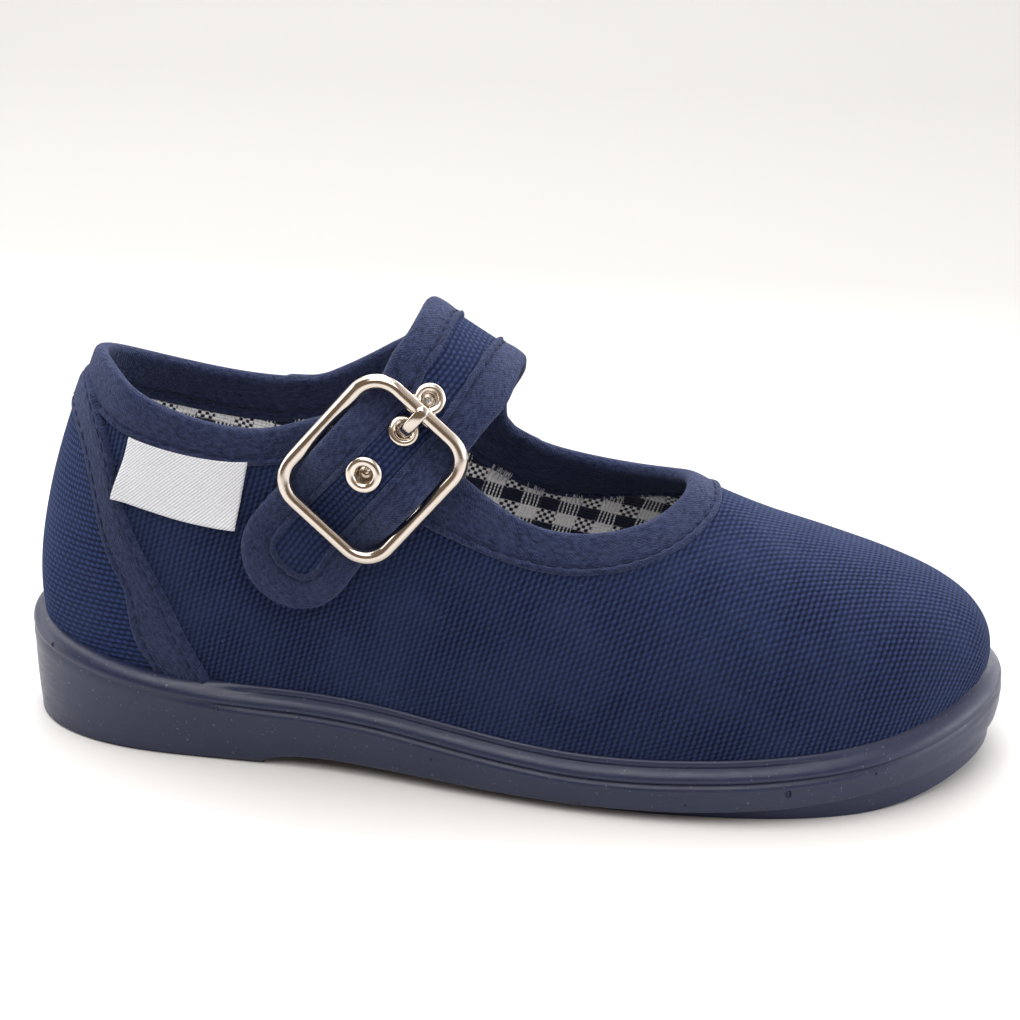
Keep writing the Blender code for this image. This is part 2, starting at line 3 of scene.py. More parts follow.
import bmesh
import bpy
import numpy as np
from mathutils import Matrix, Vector


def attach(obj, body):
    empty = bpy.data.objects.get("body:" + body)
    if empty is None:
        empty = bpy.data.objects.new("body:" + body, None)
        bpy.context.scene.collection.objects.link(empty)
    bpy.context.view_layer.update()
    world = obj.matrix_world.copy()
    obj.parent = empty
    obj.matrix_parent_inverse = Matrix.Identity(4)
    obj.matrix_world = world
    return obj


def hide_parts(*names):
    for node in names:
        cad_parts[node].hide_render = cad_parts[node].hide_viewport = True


# A child's right mary jane: +X to the toe, +Y to the inner side of the foot, +Z up.
# Lengths are millimetres until a mesh is made.
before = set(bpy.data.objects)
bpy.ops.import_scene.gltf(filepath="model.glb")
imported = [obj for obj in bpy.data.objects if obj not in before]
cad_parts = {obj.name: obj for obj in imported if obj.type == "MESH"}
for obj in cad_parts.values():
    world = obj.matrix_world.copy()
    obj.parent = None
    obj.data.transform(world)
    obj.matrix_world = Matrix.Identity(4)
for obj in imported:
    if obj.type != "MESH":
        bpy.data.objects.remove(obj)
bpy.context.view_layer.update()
mm = 0.001
print("frame loaded")

# The form of the shoe, as the solids have it. Only the strap's rows were measured again.
wallThickness = 1.8
upperInset = 2.5
heelInset = 1.4
insoleThickness = 3.0
heelBreast = -36.0

# rim of the sole seen from above: (x, y)
rimTable = [
    (-78.0, 0.0), (-74.6, -10.5), (-66.0, -17.0), (-50.0, -20.4),
    (-30.0, -21.6), (-10.0, -25.2), (10.0, -29.0), (30.0, -30.4),
    (48.0, -28.4), (62.0, -22.6), (72.5, -13.0), (77.6, -3.0),
    (77.6, 6.0), (73.5, 15.5), (65.0, 23.2), (52.0, 28.0),
    (36.0, 29.0), (18.0, 26.4), (-2.0, 22.0), (-22.0, 19.6),
    (-42.0, 19.8), (-60.0, 18.6), (-72.0, 13.0), (-77.0, 6.5),
]

# height of the line where canvas meets sole: (share of the way round, z)
seamTable = [
    (0.00, 18.0), (0.06, 15.7), (0.10, 13.4), (0.14, 12.5), (0.19, 11.9),
    (0.24, 10.1), (0.29, 9.0), (0.34, 9.7), (0.39, 10.9), (0.44, 12.8),
    (0.50, 15.4), (0.56, 13.2), (0.61, 11.2), (0.66, 9.7), (0.71, 9.2),
    (0.76, 10.6), (0.81, 12.4), (0.86, 12.7), (0.90, 13.6), (0.94, 15.6),
]

# share, top edge x, y, z, lean of the wall at the seam (degrees), its pull,
# rise of the wall at the top edge (degrees), its pull
lastTable = [
    (0.00, -64.9, 0.0, 61.6, 6, 19.0, 72, 11.0),
    (0.05, -60.5, -9.5, 61.6, 6, 19.0, 74, 11.0),
    (0.10, -52.8, -14.4, 58.3, 7, 16.5, 79, 11.7),
    (0.15, -36.5, -15.2, 55.6, 7, 15.0, 83, 12.0),
    (0.20, -22.5, -15.6, 58.4, 7, 15.0, 84, 12.0),
    (0.25, -7.2, -15.6, 51.0, 7, 16.0, 78, 12.0),
    (0.30, 6.4, -15.6, 42.2, 6, 16.0, 60, 12.0),
    (0.35, 18.6, -14.0, 41.3, 8, 16.0, 42, 13.0),
    (0.40, 25.3, -9.0, 42.7, 10, 16.7, 31, 18.0),
    (0.45, 28.0, -3.4, 44.0, 10, 16.0, 28, 23.5),
    (0.50, 27.9, 2.2, 43.9, 8, 15.0, 29, 25.5),
    (0.55, 26.5, 7.6, 42.3, 8, 15.0, 32, 23.5),
    (0.60, 22.3, 12.0, 40.7, 8, 16.0, 37, 17.8),
    (0.65, 14.6, 14.3, 40.4, 8, 15.6, 47, 13.0),
    (0.70, 4.5, 14.8, 42.2, 6, 16.0, 60, 12.0),
    (0.75, -5.0, 15.2, 47.9, 7, 16.0, 76, 12.0),
    (0.80, -15.4, 15.4, 53.8, 7, 15.0, 82, 12.0),
    (0.85, -31.8, 14.8, 52.6, 7, 15.0, 83, 12.0),
    (0.90, -47.6, 14.2, 53.0, 7, 16.5, 79, 11.7),
    (0.95, -60.6, 9.4, 57.4, 6, 19.0, 74, 11.4),
]

# inside floor of the sole: (x, z)
floorTable = [(-80, 9.0), (-55, 9.0), (-30, 7.4), (-5, 5.2), (25, 4.2), (50, 4.9), (66, 7.0), (80, 9.6)]

# strap over the instep: centre x, y, z, direction across it towards the toe, half its width
strapTable = [
    (-11.3, 14.0, 53.6, 0.867, -0.01, -0.498, 9.8),
    (-8.5, 11.4, 58.3, 0.816, -0.02, -0.577, 9.4),
    (-6.4, 7.8, 62.1, 0.830, -0.02, -0.560, 9.1),
    (-5.65, 3.9, 64.85, 0.840, 0.00, -0.543, 8.9),
    (-5.45, -1.0, 66.4, 0.834, 0.00, -0.552, 9.0),
    (-5.7, -6.0, 66.0, 0.826, -0.02, -0.563, 9.1),
    (-6.65, -11.0, 64.3, 0.812, -0.04, -0.582, 9.25),
    (-8.7, -14.6, 62.15, 0.790, -0.06, -0.610, 9.1),
]
strapRoot = (0.742, 0.836)                 # share round the foot of its front and back corners
strapTipCentre = (-29.9, 36.4)             # x, z of the centre of its round end
strapTipRadius = 9.0
buckleCentre = np.array((-18.0, -20.2, 51.2))
buckleFacing = np.array(Vector((0.0, -0.986, 0.167)).normalized())
strapRun = np.array((-0.655, -0.125, -0.745))
buckleReach = 11.3                         # from the centre bar to where the strap leaves the frame


def columnOf(rows, k):
    return [row[k] for row in rows]


def betweenRows(x, rows):
    return np.interp(x, columnOf(rows, 0), columnOf(rows, 1))


def splineThrough(xs, ys):                   # a smooth curve through points, straight at both ends
    xs = np.asarray(xs, float)
    ys = np.asarray(ys, float)
    count = len(xs)
    step = np.diff(xs)
    matrix = np.eye(count)
    right = np.zeros(ys.shape)
    for i in range(1, count - 1):
        matrix[i, i - 1:i + 2] = step[i - 1], 2 * (step[i - 1] + step[i]), step[i]
        right[i] = 6 * ((ys[i + 1] - ys[i]) / step[i] - (ys[i] - ys[i - 1]) / step[i - 1])
    bend = np.linalg.solve(matrix, right.reshape(count, -1)).reshape(ys.shape)

    def curve(x):
        x = np.asarray(x, float)
        i = np.clip(np.searchsorted(xs, x) - 1, 0, count - 2)
        spare = (1,) * (ys.ndim - 1)
        d = (x - xs[i]).reshape(x.shape + spare)
        h = step[i].reshape(x.shape + spare)
        slope = (ys[i + 1] - ys[i]) / h - h * (2 * bend[i] + bend[i + 1]) / 6
        return ys[i] + d * slope + d * d * bend[i] / 2 + d ** 3 * (bend[i + 1] - bend[i]) / (6 * h)
    return curve


def chordThrough(xs, ys):                    # like splineThrough, but never swinging past its points
    xs = np.asarray(xs, float)
    ys = np.asarray(ys, float)
    lean = np.gradient(ys, axis=0) * 2
    reach = (np.gradient(xs) * 2).reshape((-1,) + (1,) * (ys.ndim - 1))
    lean = lean / reach

    def curve(x):
        x = np.asarray(x, float)
        i = np.clip(np.searchsorted(xs, x) - 1, 0, len(xs) - 2)
        spare = (1,) * (ys.ndim - 1)
        h = (xs[i + 1] - xs[i]).reshape(x.shape + spare)
        t = (x - xs[i]).reshape(x.shape + spare) / h
        return ((1 + 2 * t) * (1 - t) ** 2 * ys[i] + t * (1 - t) ** 2 * h * lean[i]
                + t * t * (3 - 2 * t) * ys[i + 1] + t * t * (t - 1) * h * lean[i + 1])
    return curve


def loopThrough(xs, ys, period=1.0):
    start = xs[0]
    longXs = [x + lap * period for lap in (-1, 0, 1) for x in xs]
    curve = splineThrough(longXs, list(ys) * 3)
    return lambda x: curve(np.mod(np.asarray(x, float) - start, period) + start)


def makeRim():
    points = np.array(rimTable)
    chords = np.linalg.norm(np.roll(points, -1, 0) - points, axis=1)
    marks = np.concatenate([[0.0], np.cumsum(chords)])
    curves = [loopThrough(list(marks[:-1]), list(points[:, k]), marks[-1]) for k in (0, 1)]
    fine = np.linspace(0, marks[-1], 2881)
    line = np.stack([curve(fine) for curve in curves], 1)
    lengths = np.concatenate([[0.0], np.cumsum(np.linalg.norm(np.diff(line, axis=0), axis=1))])
    share = lengths / lengths[-1]

    def rim(u):
        u = np.mod(np.asarray(u, float), 1.0)
        return np.stack([np.interp(u, share, line[:, 0]), np.interp(u, share, line[:, 1])], -1)
    return rim


rimAt = makeRim()
seamAt = loopThrough(columnOf(seamTable, 0), columnOf(seamTable, 1))
lastAt = [loopThrough(columnOf(lastTable, 0), columnOf(lastTable, k)) for k in range(1, 8)]
floorAt = splineThrough(columnOf(floorTable, 0), columnOf(floorTable, 1))


def unit(vectors):
    return vectors / np.maximum(np.linalg.norm(vectors, axis=-1), 1e-9)[..., None]


def smooth(low, high, x):
    t = np.clip((x - low) / (high - low), 0, 1)
    return t * t * (3 - 2 * t)


def fromHeel(u):
    return np.abs(np.mod(np.asarray(u, float) + 0.5, 1.0) - 0.5)


def wallInset(u):
    return upperInset + heelInset * (1 + np.cos(math.pi * np.clip((fromHeel(u) - 0.09) / 0.05, 0, 1))) / 2


def inwardAt(u):
    along = unit(rimAt(np.asarray(u) + 0.004) - rimAt(np.asarray(u) - 0.004))
    return np.stack([-along[..., 1], along[..., 0]], -1)


def insetAt(u, distance):
    return rimAt(u) + inwardAt(u) * np.asarray(distance, float)[..., None]


def lastPoint(u, v):      # outer face of the upper: u round the foot, v from the sole (0) to the top edge (1)
    u, v = np.broadcast_arrays(np.asarray(u, float), np.asarray(v, float))
    inward = inwardAt(u)
    foot = np.concatenate([rimAt(u) + inward * wallInset(u)[..., None], seamAt(u)[..., None]], -1)
    topX, topY, topZ, lean, footPull, rise, topPull = [curve(u) for curve in lastAt]
    top = np.stack([topX, topY, topZ], -1)
    lean = np.radians(lean)[..., None]
    rise = np.radians(rise)[..., None]
    level = unit((top - foot)[..., :2] + 6 * inward)
    leaving = np.concatenate([-inward * np.sin(lean), np.cos(lean)], -1)
    arriving = np.concatenate([level * np.cos(rise), np.sin(rise)], -1)
    low = foot + leaving * footPull[..., None]
    high = top - arriving * topPull[..., None]
    v = v[..., None]
    return (1 - v) ** 3 * foot + 3 * (1 - v) ** 2 * v * low + 3 * (1 - v) * v * v * high + v ** 3 * top


def lastNormal(u, v):
    u, v = np.broadcast_arrays(np.asarray(u, float), np.asarray(v, float))
    across = lastPoint(u + 0.002, v) - lastPoint(u - 0.002, v)
    upward = lastPoint(u, v + 0.002) - lastPoint(u, v - 0.002)
    return unit(np.cross(across, upward))


def onLast(u, v, height):
    return lastPoint(u, v) + lastNormal(u, v) * np.asarray(height, float)[..., None]


def formGrid(u, v):
    u, v = np.meshgrid(u, v, indexing="ij")
    return u, v, lastPoint(u, v), lastNormal(u, v)


def quarterShare(x, z):   # place on the outer quarter, found from x and z
    x, z = np.broadcast_arrays(np.asarray(x, float), np.asarray(z, float))
    u = np.full(x.shape, 0.17)
    v = np.full(x.shape, 0.6)
    for _ in range(30):
        here = lastPoint(u, v)
        du = (lastPoint(u + 1e-4, v) - here) / 1e-4
        dv = (lastPoint(u, v + 1e-4) - here) / 1e-4
        area = du[..., 0] * dv[..., 2] - dv[..., 0] * du[..., 2]
        dx = x - here[..., 0]
        dz = z - here[..., 2]
        u = u + np.clip((dx * dv[..., 2] - dz * dv[..., 0]) / area, -0.03, 0.03)
        v = v + np.clip((dz * du[..., 0] - dx * du[..., 2]) / area, -0.15, 0.15)
    return u, v


def quarterPoint(x, z, height):
    u, v = quarterShare(x, z)
    return onLast(u, v, height)


# Waves that stand in for chance, the same every run.
def ripple(x, y, seed):
    total = 0.0
    for k in range(5):
        a = math.sin(seed * 12.9 + k * 78.2) * 3
        b = math.cos(seed * 4.1 + k * 37.7) * 3
        turn = x * (1 + 0.7 * k) * math.cos(a) + y * (1 + 0.6 * k) * math.sin(a)
        total = total + np.sin(turn + b * 5) / (1 + k)
    return total / 2.3


# Meshes. Grids run rows by columns, and each corner has its place on the cloth in millimetres.
def meshPiece(name, points, faces, corners=None, material=None, sharpAngle=None):
    mesh = bpy.data.meshes.new(name)
    faces = faces.tolist() if isinstance(faces, np.ndarray) else faces
    mesh.from_pydata((np.asarray(points, float) * mm).tolist(), [], faces)
    if corners is not None:
        layer = mesh.uv_layers.new(name="cloth")
        layer.data.foreach_set("uv", np.asarray(corners, np.float32).ravel())
    solid = bmesh.new()
    solid.from_mesh(mesh)
    bmesh.ops.recalc_face_normals(solid, faces=solid.faces)
    solid.to_mesh(mesh)
    solid.free()
    mesh.polygons.foreach_set("use_smooth", [True] * len(mesh.polygons))
    if sharpAngle:
        mesh.set_sharp_from_angle(angle=math.radians(sharpAngle))
    piece = bpy.data.objects.new(name, mesh)
    bpy.context.collection.objects.link(piece)
    if material:
        mesh.materials.append(material)
    return piece


def evaluatedMesh(piece):
    graph = bpy.context.evaluated_depsgraph_get()
    source = piece.evaluated_get(graph)
    return bpy.data.meshes.new_from_object(source, preserve_all_data_layers=True, depsgraph=graph)


def smoothWithin(piece, angle):                # smooth, but sharp where faces meet at more than the angle
    piece.data.polygons.foreach_set("use_smooth", [True] * len(piece.data.polygons))
    piece.data.set_sharp_from_angle(angle=math.radians(angle))


# Parts are points, faces and places on the cloth, ready to be joined.
def gridParts(points, cloth, closedRows, closedColumns, ends=False):
    rows, columns = points.shape[:2]
    i, j = np.indices((rows if closedRows else rows - 1, columns if closedColumns else columns - 1))
    i, j = i.ravel(), j.ravel()
    corners = [(i, j), (i + 1, j), (i + 1, j + 1), (i, j + 1)]
    faces = np.stack([(a % rows) * columns + b % columns for a, b in corners], 1)
    places = np.stack([cloth[a, b] for a, b in corners], 1).reshape(-1, 2)
    if ends:                                # a flat end between the two faces of a sheet
        j = np.arange(columns // 2 - 1)
        for row in (0, rows - 1):
            edge = [j, j + 1, columns - 2 - j, columns - 1 - j]
            faces = np.concatenate([faces, np.stack([row * columns + k for k in edge], 1)])
            places = np.concatenate([places, np.stack([cloth[row, k] for k in edge], 1).reshape(-1, 2)])
    return points.reshape(-1, 3), faces, places


def joinParts(parts):
    points, faces, places, base = [], [], [], 0
    for somePoints, someFaces, somePlaces in parts:
        points.append(somePoints)
        faces.append(someFaces + base)
        places.append(somePlaces)
        base += len(somePoints)
    return np.concatenate(points), np.concatenate(faces), np.concatenate(places)


def sheetParts(outer, inner, cloth, closedRows=False):       # two faces closed into one thin solid
    points = np.concatenate([outer, inner[:, ::-1]], 1)
    places = np.concatenate([cloth, cloth[:, ::-1], cloth[:, :1]], 1)
    return gridParts(points, places, closedRows, True, not closedRows)


def plainGrid(points, closedRows, ends=False):         # for what isn't cloth
    cloth = np.zeros((points.shape[0] + 1, points.shape[1] + 1, 2))
    return gridParts(points, cloth, closedRows, True, ends)


def tubeParts(path, radii, sides, looped=False):
    path = np.asarray(path, float)
    radii = np.broadcast_to(np.asarray(radii, float), (len(path),))
    tangents = unit(np.roll(path, -1, 0) - np.roll(path, 1, 0) if looped else np.gradient(path, axis=0))
    flat = np.linalg.svd(path - path.mean(0))[2][-1]           # normal of the plane the path lies in
    side = unit(flat - tangents * (tangents @ flat)[:, None])
    other = np.cross(tangents, side)
    turn = turnsOf(sides)[None, :, None]
    ring = np.cos(turn) * side[:, None] + np.sin(turn) * other[:, None]
    points = path[:, None] + ring * radii[:, None, None]
    return plainGrid(points, looped, not looped)


def turnsOf(count):
    return 2 * math.pi * np.arange(count) / count


def prismFaces(n):                           # two ends of n corners each, joined by n sides
    sides = [(k, (k + 1) % n, n + (k + 1) % n, n + k) for k in range(n)]
    return sides + [tuple(range(n)), tuple(range(n, 2 * n))]


def closed(rows):                            # the first row once more at the end
    return np.concatenate([rows, rows[:1]])


def alongLine(line):                         # distance walked to each point of a line
    steps = np.linalg.norm(np.diff(line, axis=0), axis=-1)
    return np.concatenate([[0.0], np.cumsum(steps)])


def atMarks(values, marks, wanted):          # values met along a line, at the wanted distances
    flat = values.reshape(len(values), -1)
    out = np.stack([np.interp(wanted, marks, flat[:, k]) for k in range(flat.shape[1])], -1)
    return out.reshape((len(wanted),) + values.shape[1:])


# Nodes of the finishes. Values may be sockets or plain numbers.
def addNode(tree, kind, inputs=None, **settings):
    node = tree.nodes.new(kind)
    for key, value in settings.items():
        setattr(node, key, value)
    for key, value in (inputs or {}).items():
        if isinstance(value, bpy.types.NodeSocket):
            tree.links.new(value, node.inputs[key])
        else:
            node.inputs[key].default_value = value
    return node


def compute(tree, operation, *values):
    return addNode(tree, "ShaderNodeMath", dict(enumerate(values)), operation=operation).outputs[0]


def times(tree, first, second):
    return compute(tree, "MULTIPLY", first, second)


def plus(tree, first, second):
    return compute(tree, "ADD", first, second)


def wave(tree, place, length):       # cosine of a place on the cloth, one turn every length
    return compute(tree, "COSINE", times(tree, place, 2 * math.pi / length))


def noise(tree, vector, scale, detail=3.0, rough=0.5):
    inputs = {"Vector": vector, "Scale": scale, "Detail": detail, "Roughness": rough}
    return addNode(tree, "ShaderNodeTexNoise", inputs).outputs["Fac"]


def spread(tree, value, low, high, newLow=0.0, newHigh=1.0):
    inputs = {"Value": value, "From Min": low, "From Max": high, "To Min": newLow, "To Max": newHigh}
    return addNode(tree, "ShaderNodeMapRange", inputs).outputs["Result"]


def swing(tree, value, reach):       # a share from 0 to 1 turned into a move to either side
    return times(tree, compute(tree, "SUBTRACT", value, 0.5), reach)


def stretch(tree, place, scale, turn=0.0):
    inputs = {"Vector": place, "Scale": scale, "Rotation": (0, 0, turn)}
    return addNode(tree, "ShaderNodeMapping", inputs).outputs[0]


def blendColors(tree, share, first, second):
    node = addNode(tree, "ShaderNodeMix", data_type="RGBA")
    sockets = {socket.identifier: socket for socket in node.inputs}
    for key, value in (("Factor_Float", share), ("A_Color", first), ("B_Color", second)):
        if isinstance(value, bpy.types.NodeSocket):
            tree.links.new(value, sockets[key])
        else:
            sockets[key].default_value = (*value, 1.0) if isinstance(value, tuple) else value
    return next(socket for socket in node.outputs if socket.identifier == "Result_Color")


def startMaterial(name, values):
    material = bpy.data.materials.new(name)
    material.use_nodes = True
    tree = material.node_tree
    shader = tree.nodes["Principled BSDF"]
    for key, value in values.items():
        shader.inputs[key].default_value = value
    return material, tree, shader


def clothPlace(tree):
    place = addNode(tree, "ShaderNodeUVMap", uv_map="cloth").outputs[0]
    parts = addNode(tree, "ShaderNodeSeparateXYZ", {0: place})
    return place, parts.outputs[0], parts.outputs[1]


def objectPlace(tree):
    return addNode(tree, "ShaderNodeTexCoord").outputs["Object"]


def setBump(tree, shader, height, distance):
    bump = addNode(tree, "ShaderNodeBump", {"Height": height, "Distance": distance, "Strength": 1.0})
    tree.links.new(bump.outputs[0], shader.inputs["Normal"])


def setColor(tree, shader, color):
    tree.links.new(color, shader.inputs["Base Color"])


# Ribbed canvas: fat weft ribs with the warp crossing over every other one.
def canvasMaterial(name, look):
    material, tree, shader = startMaterial(name, {
        "Roughness": 0.9, "Specular IOR Level": 0.10, "Sheen Weight": look["sheen"],
        "Sheen Roughness": 0.45, "Sheen Tint": (*look["sheenColor"], 1.0)})
    place, across, along = clothPlace(tree)
    across = plus(tree, across, swing(tree, noise(tree, place, 0.35, 2), look["drift"]))
    along = plus(tree, along, swing(tree, noise(tree, place, 0.9, 2), look["drift"] * 1.3))
    rib = wave(tree, across, look["ribPitch"])
    half = times(tree, across, math.pi / look["ribPitch"])
    turn = times(tree, along, 2 * math.pi / look["beadPitch"])
    falling = compute(tree, "COSINE", compute(tree, "SUBTRACT", half, turn))
    rising = compute(tree, "COSINE", plus(tree, half, turn))
    beads = plus(tree, times(tree, falling, look["skew"]),
                    times(tree, rising, 1.0 - look["skew"]))
    slub = noise(tree, place, 1.6, 3, 0.6)
    fibre = noise(tree, stretch(tree, place, (5.0, 1.6, 1.0)), 2.2, 3, 0.6)
    height = compute(tree, "MULTIPLY_ADD", rib, look["ribDepth"], 0.5)
    height = compute(tree, "MULTIPLY_ADD", beads, look["beadDepth"], height)
    height = compute(tree, "MULTIPLY_ADD", compute(tree, "SUBTRACT", slub, 0.5), 0.5, height)
    height = compute(tree, "MULTIPLY_ADD", compute(tree, "SUBTRACT", fibre, 0.5), 0.35, height)
    setBump(tree, shader, height, look["relief"])
    # The colour follows the weave's height: the hollows between threads take the gap colour as painted shade,
    # the crowns keep the yarn's colour; slub and fibre add random yarn tone.
    share = spread(tree, height, 0.08, 0.92)
    body = blendColors(tree, share, look["gap"], look["thread"])
    patchy = noise(tree, objectPlace(tree), 90.0, 3, 0.55)
    faded = blendColors(tree, spread(tree, patchy, 0.35, 0.75, 0.0, look["fade"]), body, look["faded"])
    fleck = spread(tree, noise(tree, place, 2.6, 1), 0.73, 0.80, 0.0, look["fleck"])
    setColor(tree, shader, blendColors(tree, fleck, faded, look["fleckColor"]))
    return material


# Soft cotton tape: short nap over a fine cross grain.
def tapeMaterial(name, look):
    material, tree, shader = startMaterial(name, {
        "Roughness": 0.9, "Specular IOR Level": 0.12, "Sheen Weight": look["sheen"],
        "Sheen Roughness": 0.4, "Sheen Tint": (*look["sheenColor"], 1.0)})
    place, across, along = clothPlace(tree)
    combed = stretch(tree, place, (2.1, 1.0, 1.0), math.radians(12))
    nap = spread(tree, noise(tree, combed, 0.85, 4, 0.75), 0.30, 0.70)
    fine = noise(tree, place, 4.2, 2, 0.6)
    diagonal = wave(tree, plus(tree, across, along), look["grain"])
    height = compute(tree, "MULTIPLY_ADD", nap, 0.7, times(tree, fine, 0.5))
    height = compute(tree, "MULTIPLY_ADD", diagonal, 0.06, height)
    setBump(tree, shader, height, look["relief"])
    share = spread(tree, height, 0.30, 0.90)
    body = blendColors(tree, share, look["shade"], look["thread"])
    patchy = spread(tree, noise(tree, place, 0.16, 3, 0.5), 0.4, 0.7, 0.0, look["fade"])
    setColor(tree, shader, blendColors(tree, patchy, body, look["faded"]))
    return material


# Gingham: where both stripes are white or both navy the square is plain, and where
# they cross the two threads show in turn.
def ginghamMaterial(name, look):
    material, tree, shader = startMaterial(name, {
        "Roughness": 0.9, "Specular IOR Level": 0.2, "Sheen Weight": 0.15, "Sheen Roughness": 0.5})
    place, across, along = clothPlace(tree)
    drift = swing(tree, noise(tree, place, 0.4, 2), 0.5)
    across = plus(tree, across, drift)
    along = plus(tree, along, drift)
    fray = swing(tree, noise(tree, place, 2.6, 3, 0.7), 0.7)
    stripeA = spread(tree, wave(tree, plus(tree, across, fray), look["checkAcross"]), -0.12, 0.12)
    stripeB = spread(tree, wave(tree, plus(tree, along, fray), look["checkAlong"]), -0.12, 0.12)
    threadA = compute(tree, "SINE", times(tree, across, math.pi / look["thread"]))
    threadB = compute(tree, "SINE", times(tree, along, math.pi / look["thread"]))
    humpA = compute(tree, "ABSOLUTE", threadA)
    humpB = compute(tree, "ABSOLUTE", threadB)
    lines = times(tree, spread(tree, humpA, 0.68, 0.95), spread(tree, humpB, 0.10, 0.60, 0.20, 1.0))
    zigzag = spread(tree, times(tree, threadA, threadB), -0.20, 0.25, 1.0, 0.0)
    both = times(tree, stripeA, stripeB)
    onlyA = times(tree, compute(tree, "SUBTRACT", stripeA, both), lines)
    onlyB = times(tree, compute(tree, "SUBTRACT", stripeB, both), zigzag)
    # White squares darker between the threads: painted shade.
    both = times(tree, both, spread(tree, humpA, 0.05, 0.45, 0.78, 1.0))
    white = plus(tree, both, plus(tree, onlyA, onlyB))
    mottled = times(tree, white, spread(tree, noise(tree, place, 1.6, 3), 0.3, 0.6, 0.90, 1.0))
    setBump(tree, shader, plus(tree, humpA, humpB), look["relief"])
    setColor(tree, shader, blendColors(tree, mottled, look["dark"], look["light"]))
    return material


# White label cloth with a fine diagonal rib, no mark on it.
def labelMaterial(name, look):
    material, tree, shader = startMaterial(name, {
        "Roughness": 0.55, "Specular IOR Level": 0.4, "Sheen Weight": 0.2, "Sheen Roughness": 0.4})
    place, across, along = clothPlace(tree)
    diagonal = wave(tree, plus(tree, across, times(tree, along, 0.8)), look["grain"])
    fibre = noise(tree, place, 4.0, 3, 0.6)
    height = compute(tree, "MULTIPLY_ADD", diagonal, 0.3, fibre)
    setBump(tree, shader, height, look["relief"])
    # Darker along the twill's grooves as painted shade; the fibre noise adds random tone.
    tone = blendColors(tree, spread(tree, height, 0.2, 0.75), look["shade"], look["thread"])
    setColor(tree, shader, tone)
    return material


# Moulded rubber: soft mottled gloss, a fine pebble and tiny pale specks.
def rubberMaterial(name, look):
    material, tree, shader = startMaterial(name, {
        "Specular IOR Level": 0.42, "Coat Weight": 0.08, "Coat Roughness": 0.35})
    place = objectPlace(tree)
    cloud = noise(tree, place, 60.0, 4, 0.6)
    pebble = noise(tree, place, 900.0, 2, 0.6)
    scuff = noise(tree, stretch(tree, place, (1.0, 1.0, 6.0)), 240.0, 4, 0.65)
    speck = spread(tree, noise(tree, place, 2300.0, 0), 0.78, 0.84, 0.0, 0.6)
    base = blendColors(tree, spread(tree, cloud, 0.3, 0.7), look["dark"], look["light"])
    base = blendColors(tree, spread(tree, scuff, 0.55, 0.8, 0.0, 0.35), base, look["scuffed"])
    setColor(tree, shader, blendColors(tree, speck, base, look["speck"]))
    tree.links.new(spread(tree, scuff, 0.25, 0.8, 0.30, 0.55), shader.inputs["Roughness"])
    height = compute(tree, "MULTIPLY_ADD", pebble, 0.35, cloud)
    setBump(tree, shader, height, look["relief"])
    return material


def chromeMaterial(name, color, rough):
    material, tree, shader = startMaterial(name, {"Metallic": 1.0, "Base Color": (*color, 1.0)})
    place = objectPlace(tree)
    smear = noise(tree, place, 420.0, 4, 0.6)
    tree.links.new(spread(tree, smear, 0.3, 0.75, rough * 0.7, rough * 1.5), shader.inputs["Roughness"])
    setBump(tree, shader, noise(tree, place, 700.0, 3, 0.5), 0.00002)
    return material


def threadMaterial(name, color):
    material, tree, shader = startMaterial(name, {
        "Roughness": 0.8, "Specular IOR Level": 0.15, "Sheen Weight": 0.05, "Sheen Roughness": 0.4})
    place = objectPlace(tree)
    ply = noise(tree, place, 1500.0, 3, 0.6)
    dark, light = (tuple(share * part for part in color) for share in (0.6, 1.3))
    tone = blendColors(tree, spread(tree, ply, 0.3, 0.7), dark, light)
    setColor(tree, shader, tone)
    setBump(tree, shader, ply, 0.0001)
    return material


canvasLook = {
    "ribPitch": 0.85, "beadPitch": 0.89, "ribDepth": 0.36, "beadDepth": 0.26, "skew": 0.78,
    # gap: painted shade in the weave's hollows; thread: the yarn's own colour
    "relief": 0.00038, "drift": 0.30, "gap": (0.0012, 0.0025, 0.013), "thread": (0.0205, 0.034, 0.102),
    "faded": (0.029, 0.045, 0.110), "fade": 0.35, "fleckColor": (0.12, 0.15, 0.28), "fleck": 0.65,
    "sheen": 0.10, "sheenColor": (0.35, 0.50, 1.0),
}
strapLook = dict(canvasLook, ribPitch=0.86, beadPitch=1.1, skew=0.5)
patchLook = dict(canvasLook, ribPitch=0.90, beadPitch=1.05, skew=0.5, thread=(0.022, 0.043, 0.136))
tapeLook = {
    "grain": 0.5, "relief": 0.00040, "shade": (0.004, 0.007, 0.026), "thread": (0.037, 0.050, 0.119),
    "faded": (0.041, 0.050, 0.104), "fade": 0.3, "sheen": 0.2, "sheenColor": (0.5, 0.6, 0.95),
}
checkLook = {
    "checkAcross": 6.45, "checkAlong": 4.95, "thread": 0.62, "relief": 0.00008,
    "dark": (0.007, 0.010, 0.032), "light": (1.0, 1.0, 1.0),
}
twillLook = {
    # shade: painted shade in the twill's grooves; thread: the white yarn
    "grain": 0.52, "relief": 0.0001, "shade": (0.44, 0.46, 0.52), "thread": (0.76, 0.78, 0.82),
}
rubberLook = {
    "dark": (0.0086, 0.0130, 0.043), "light": (0.0132, 0.0188, 0.055),
    "scuffed": (0.031, 0.036, 0.078), "speck": (0.12, 0.13, 0.19), "relief": 0.00012,
}
ribbedCanvas = canvasMaterial("ribbed_canvas", canvasLook)
strapCanvas = canvasMaterial("strap_ribbed_canvas", strapLook)
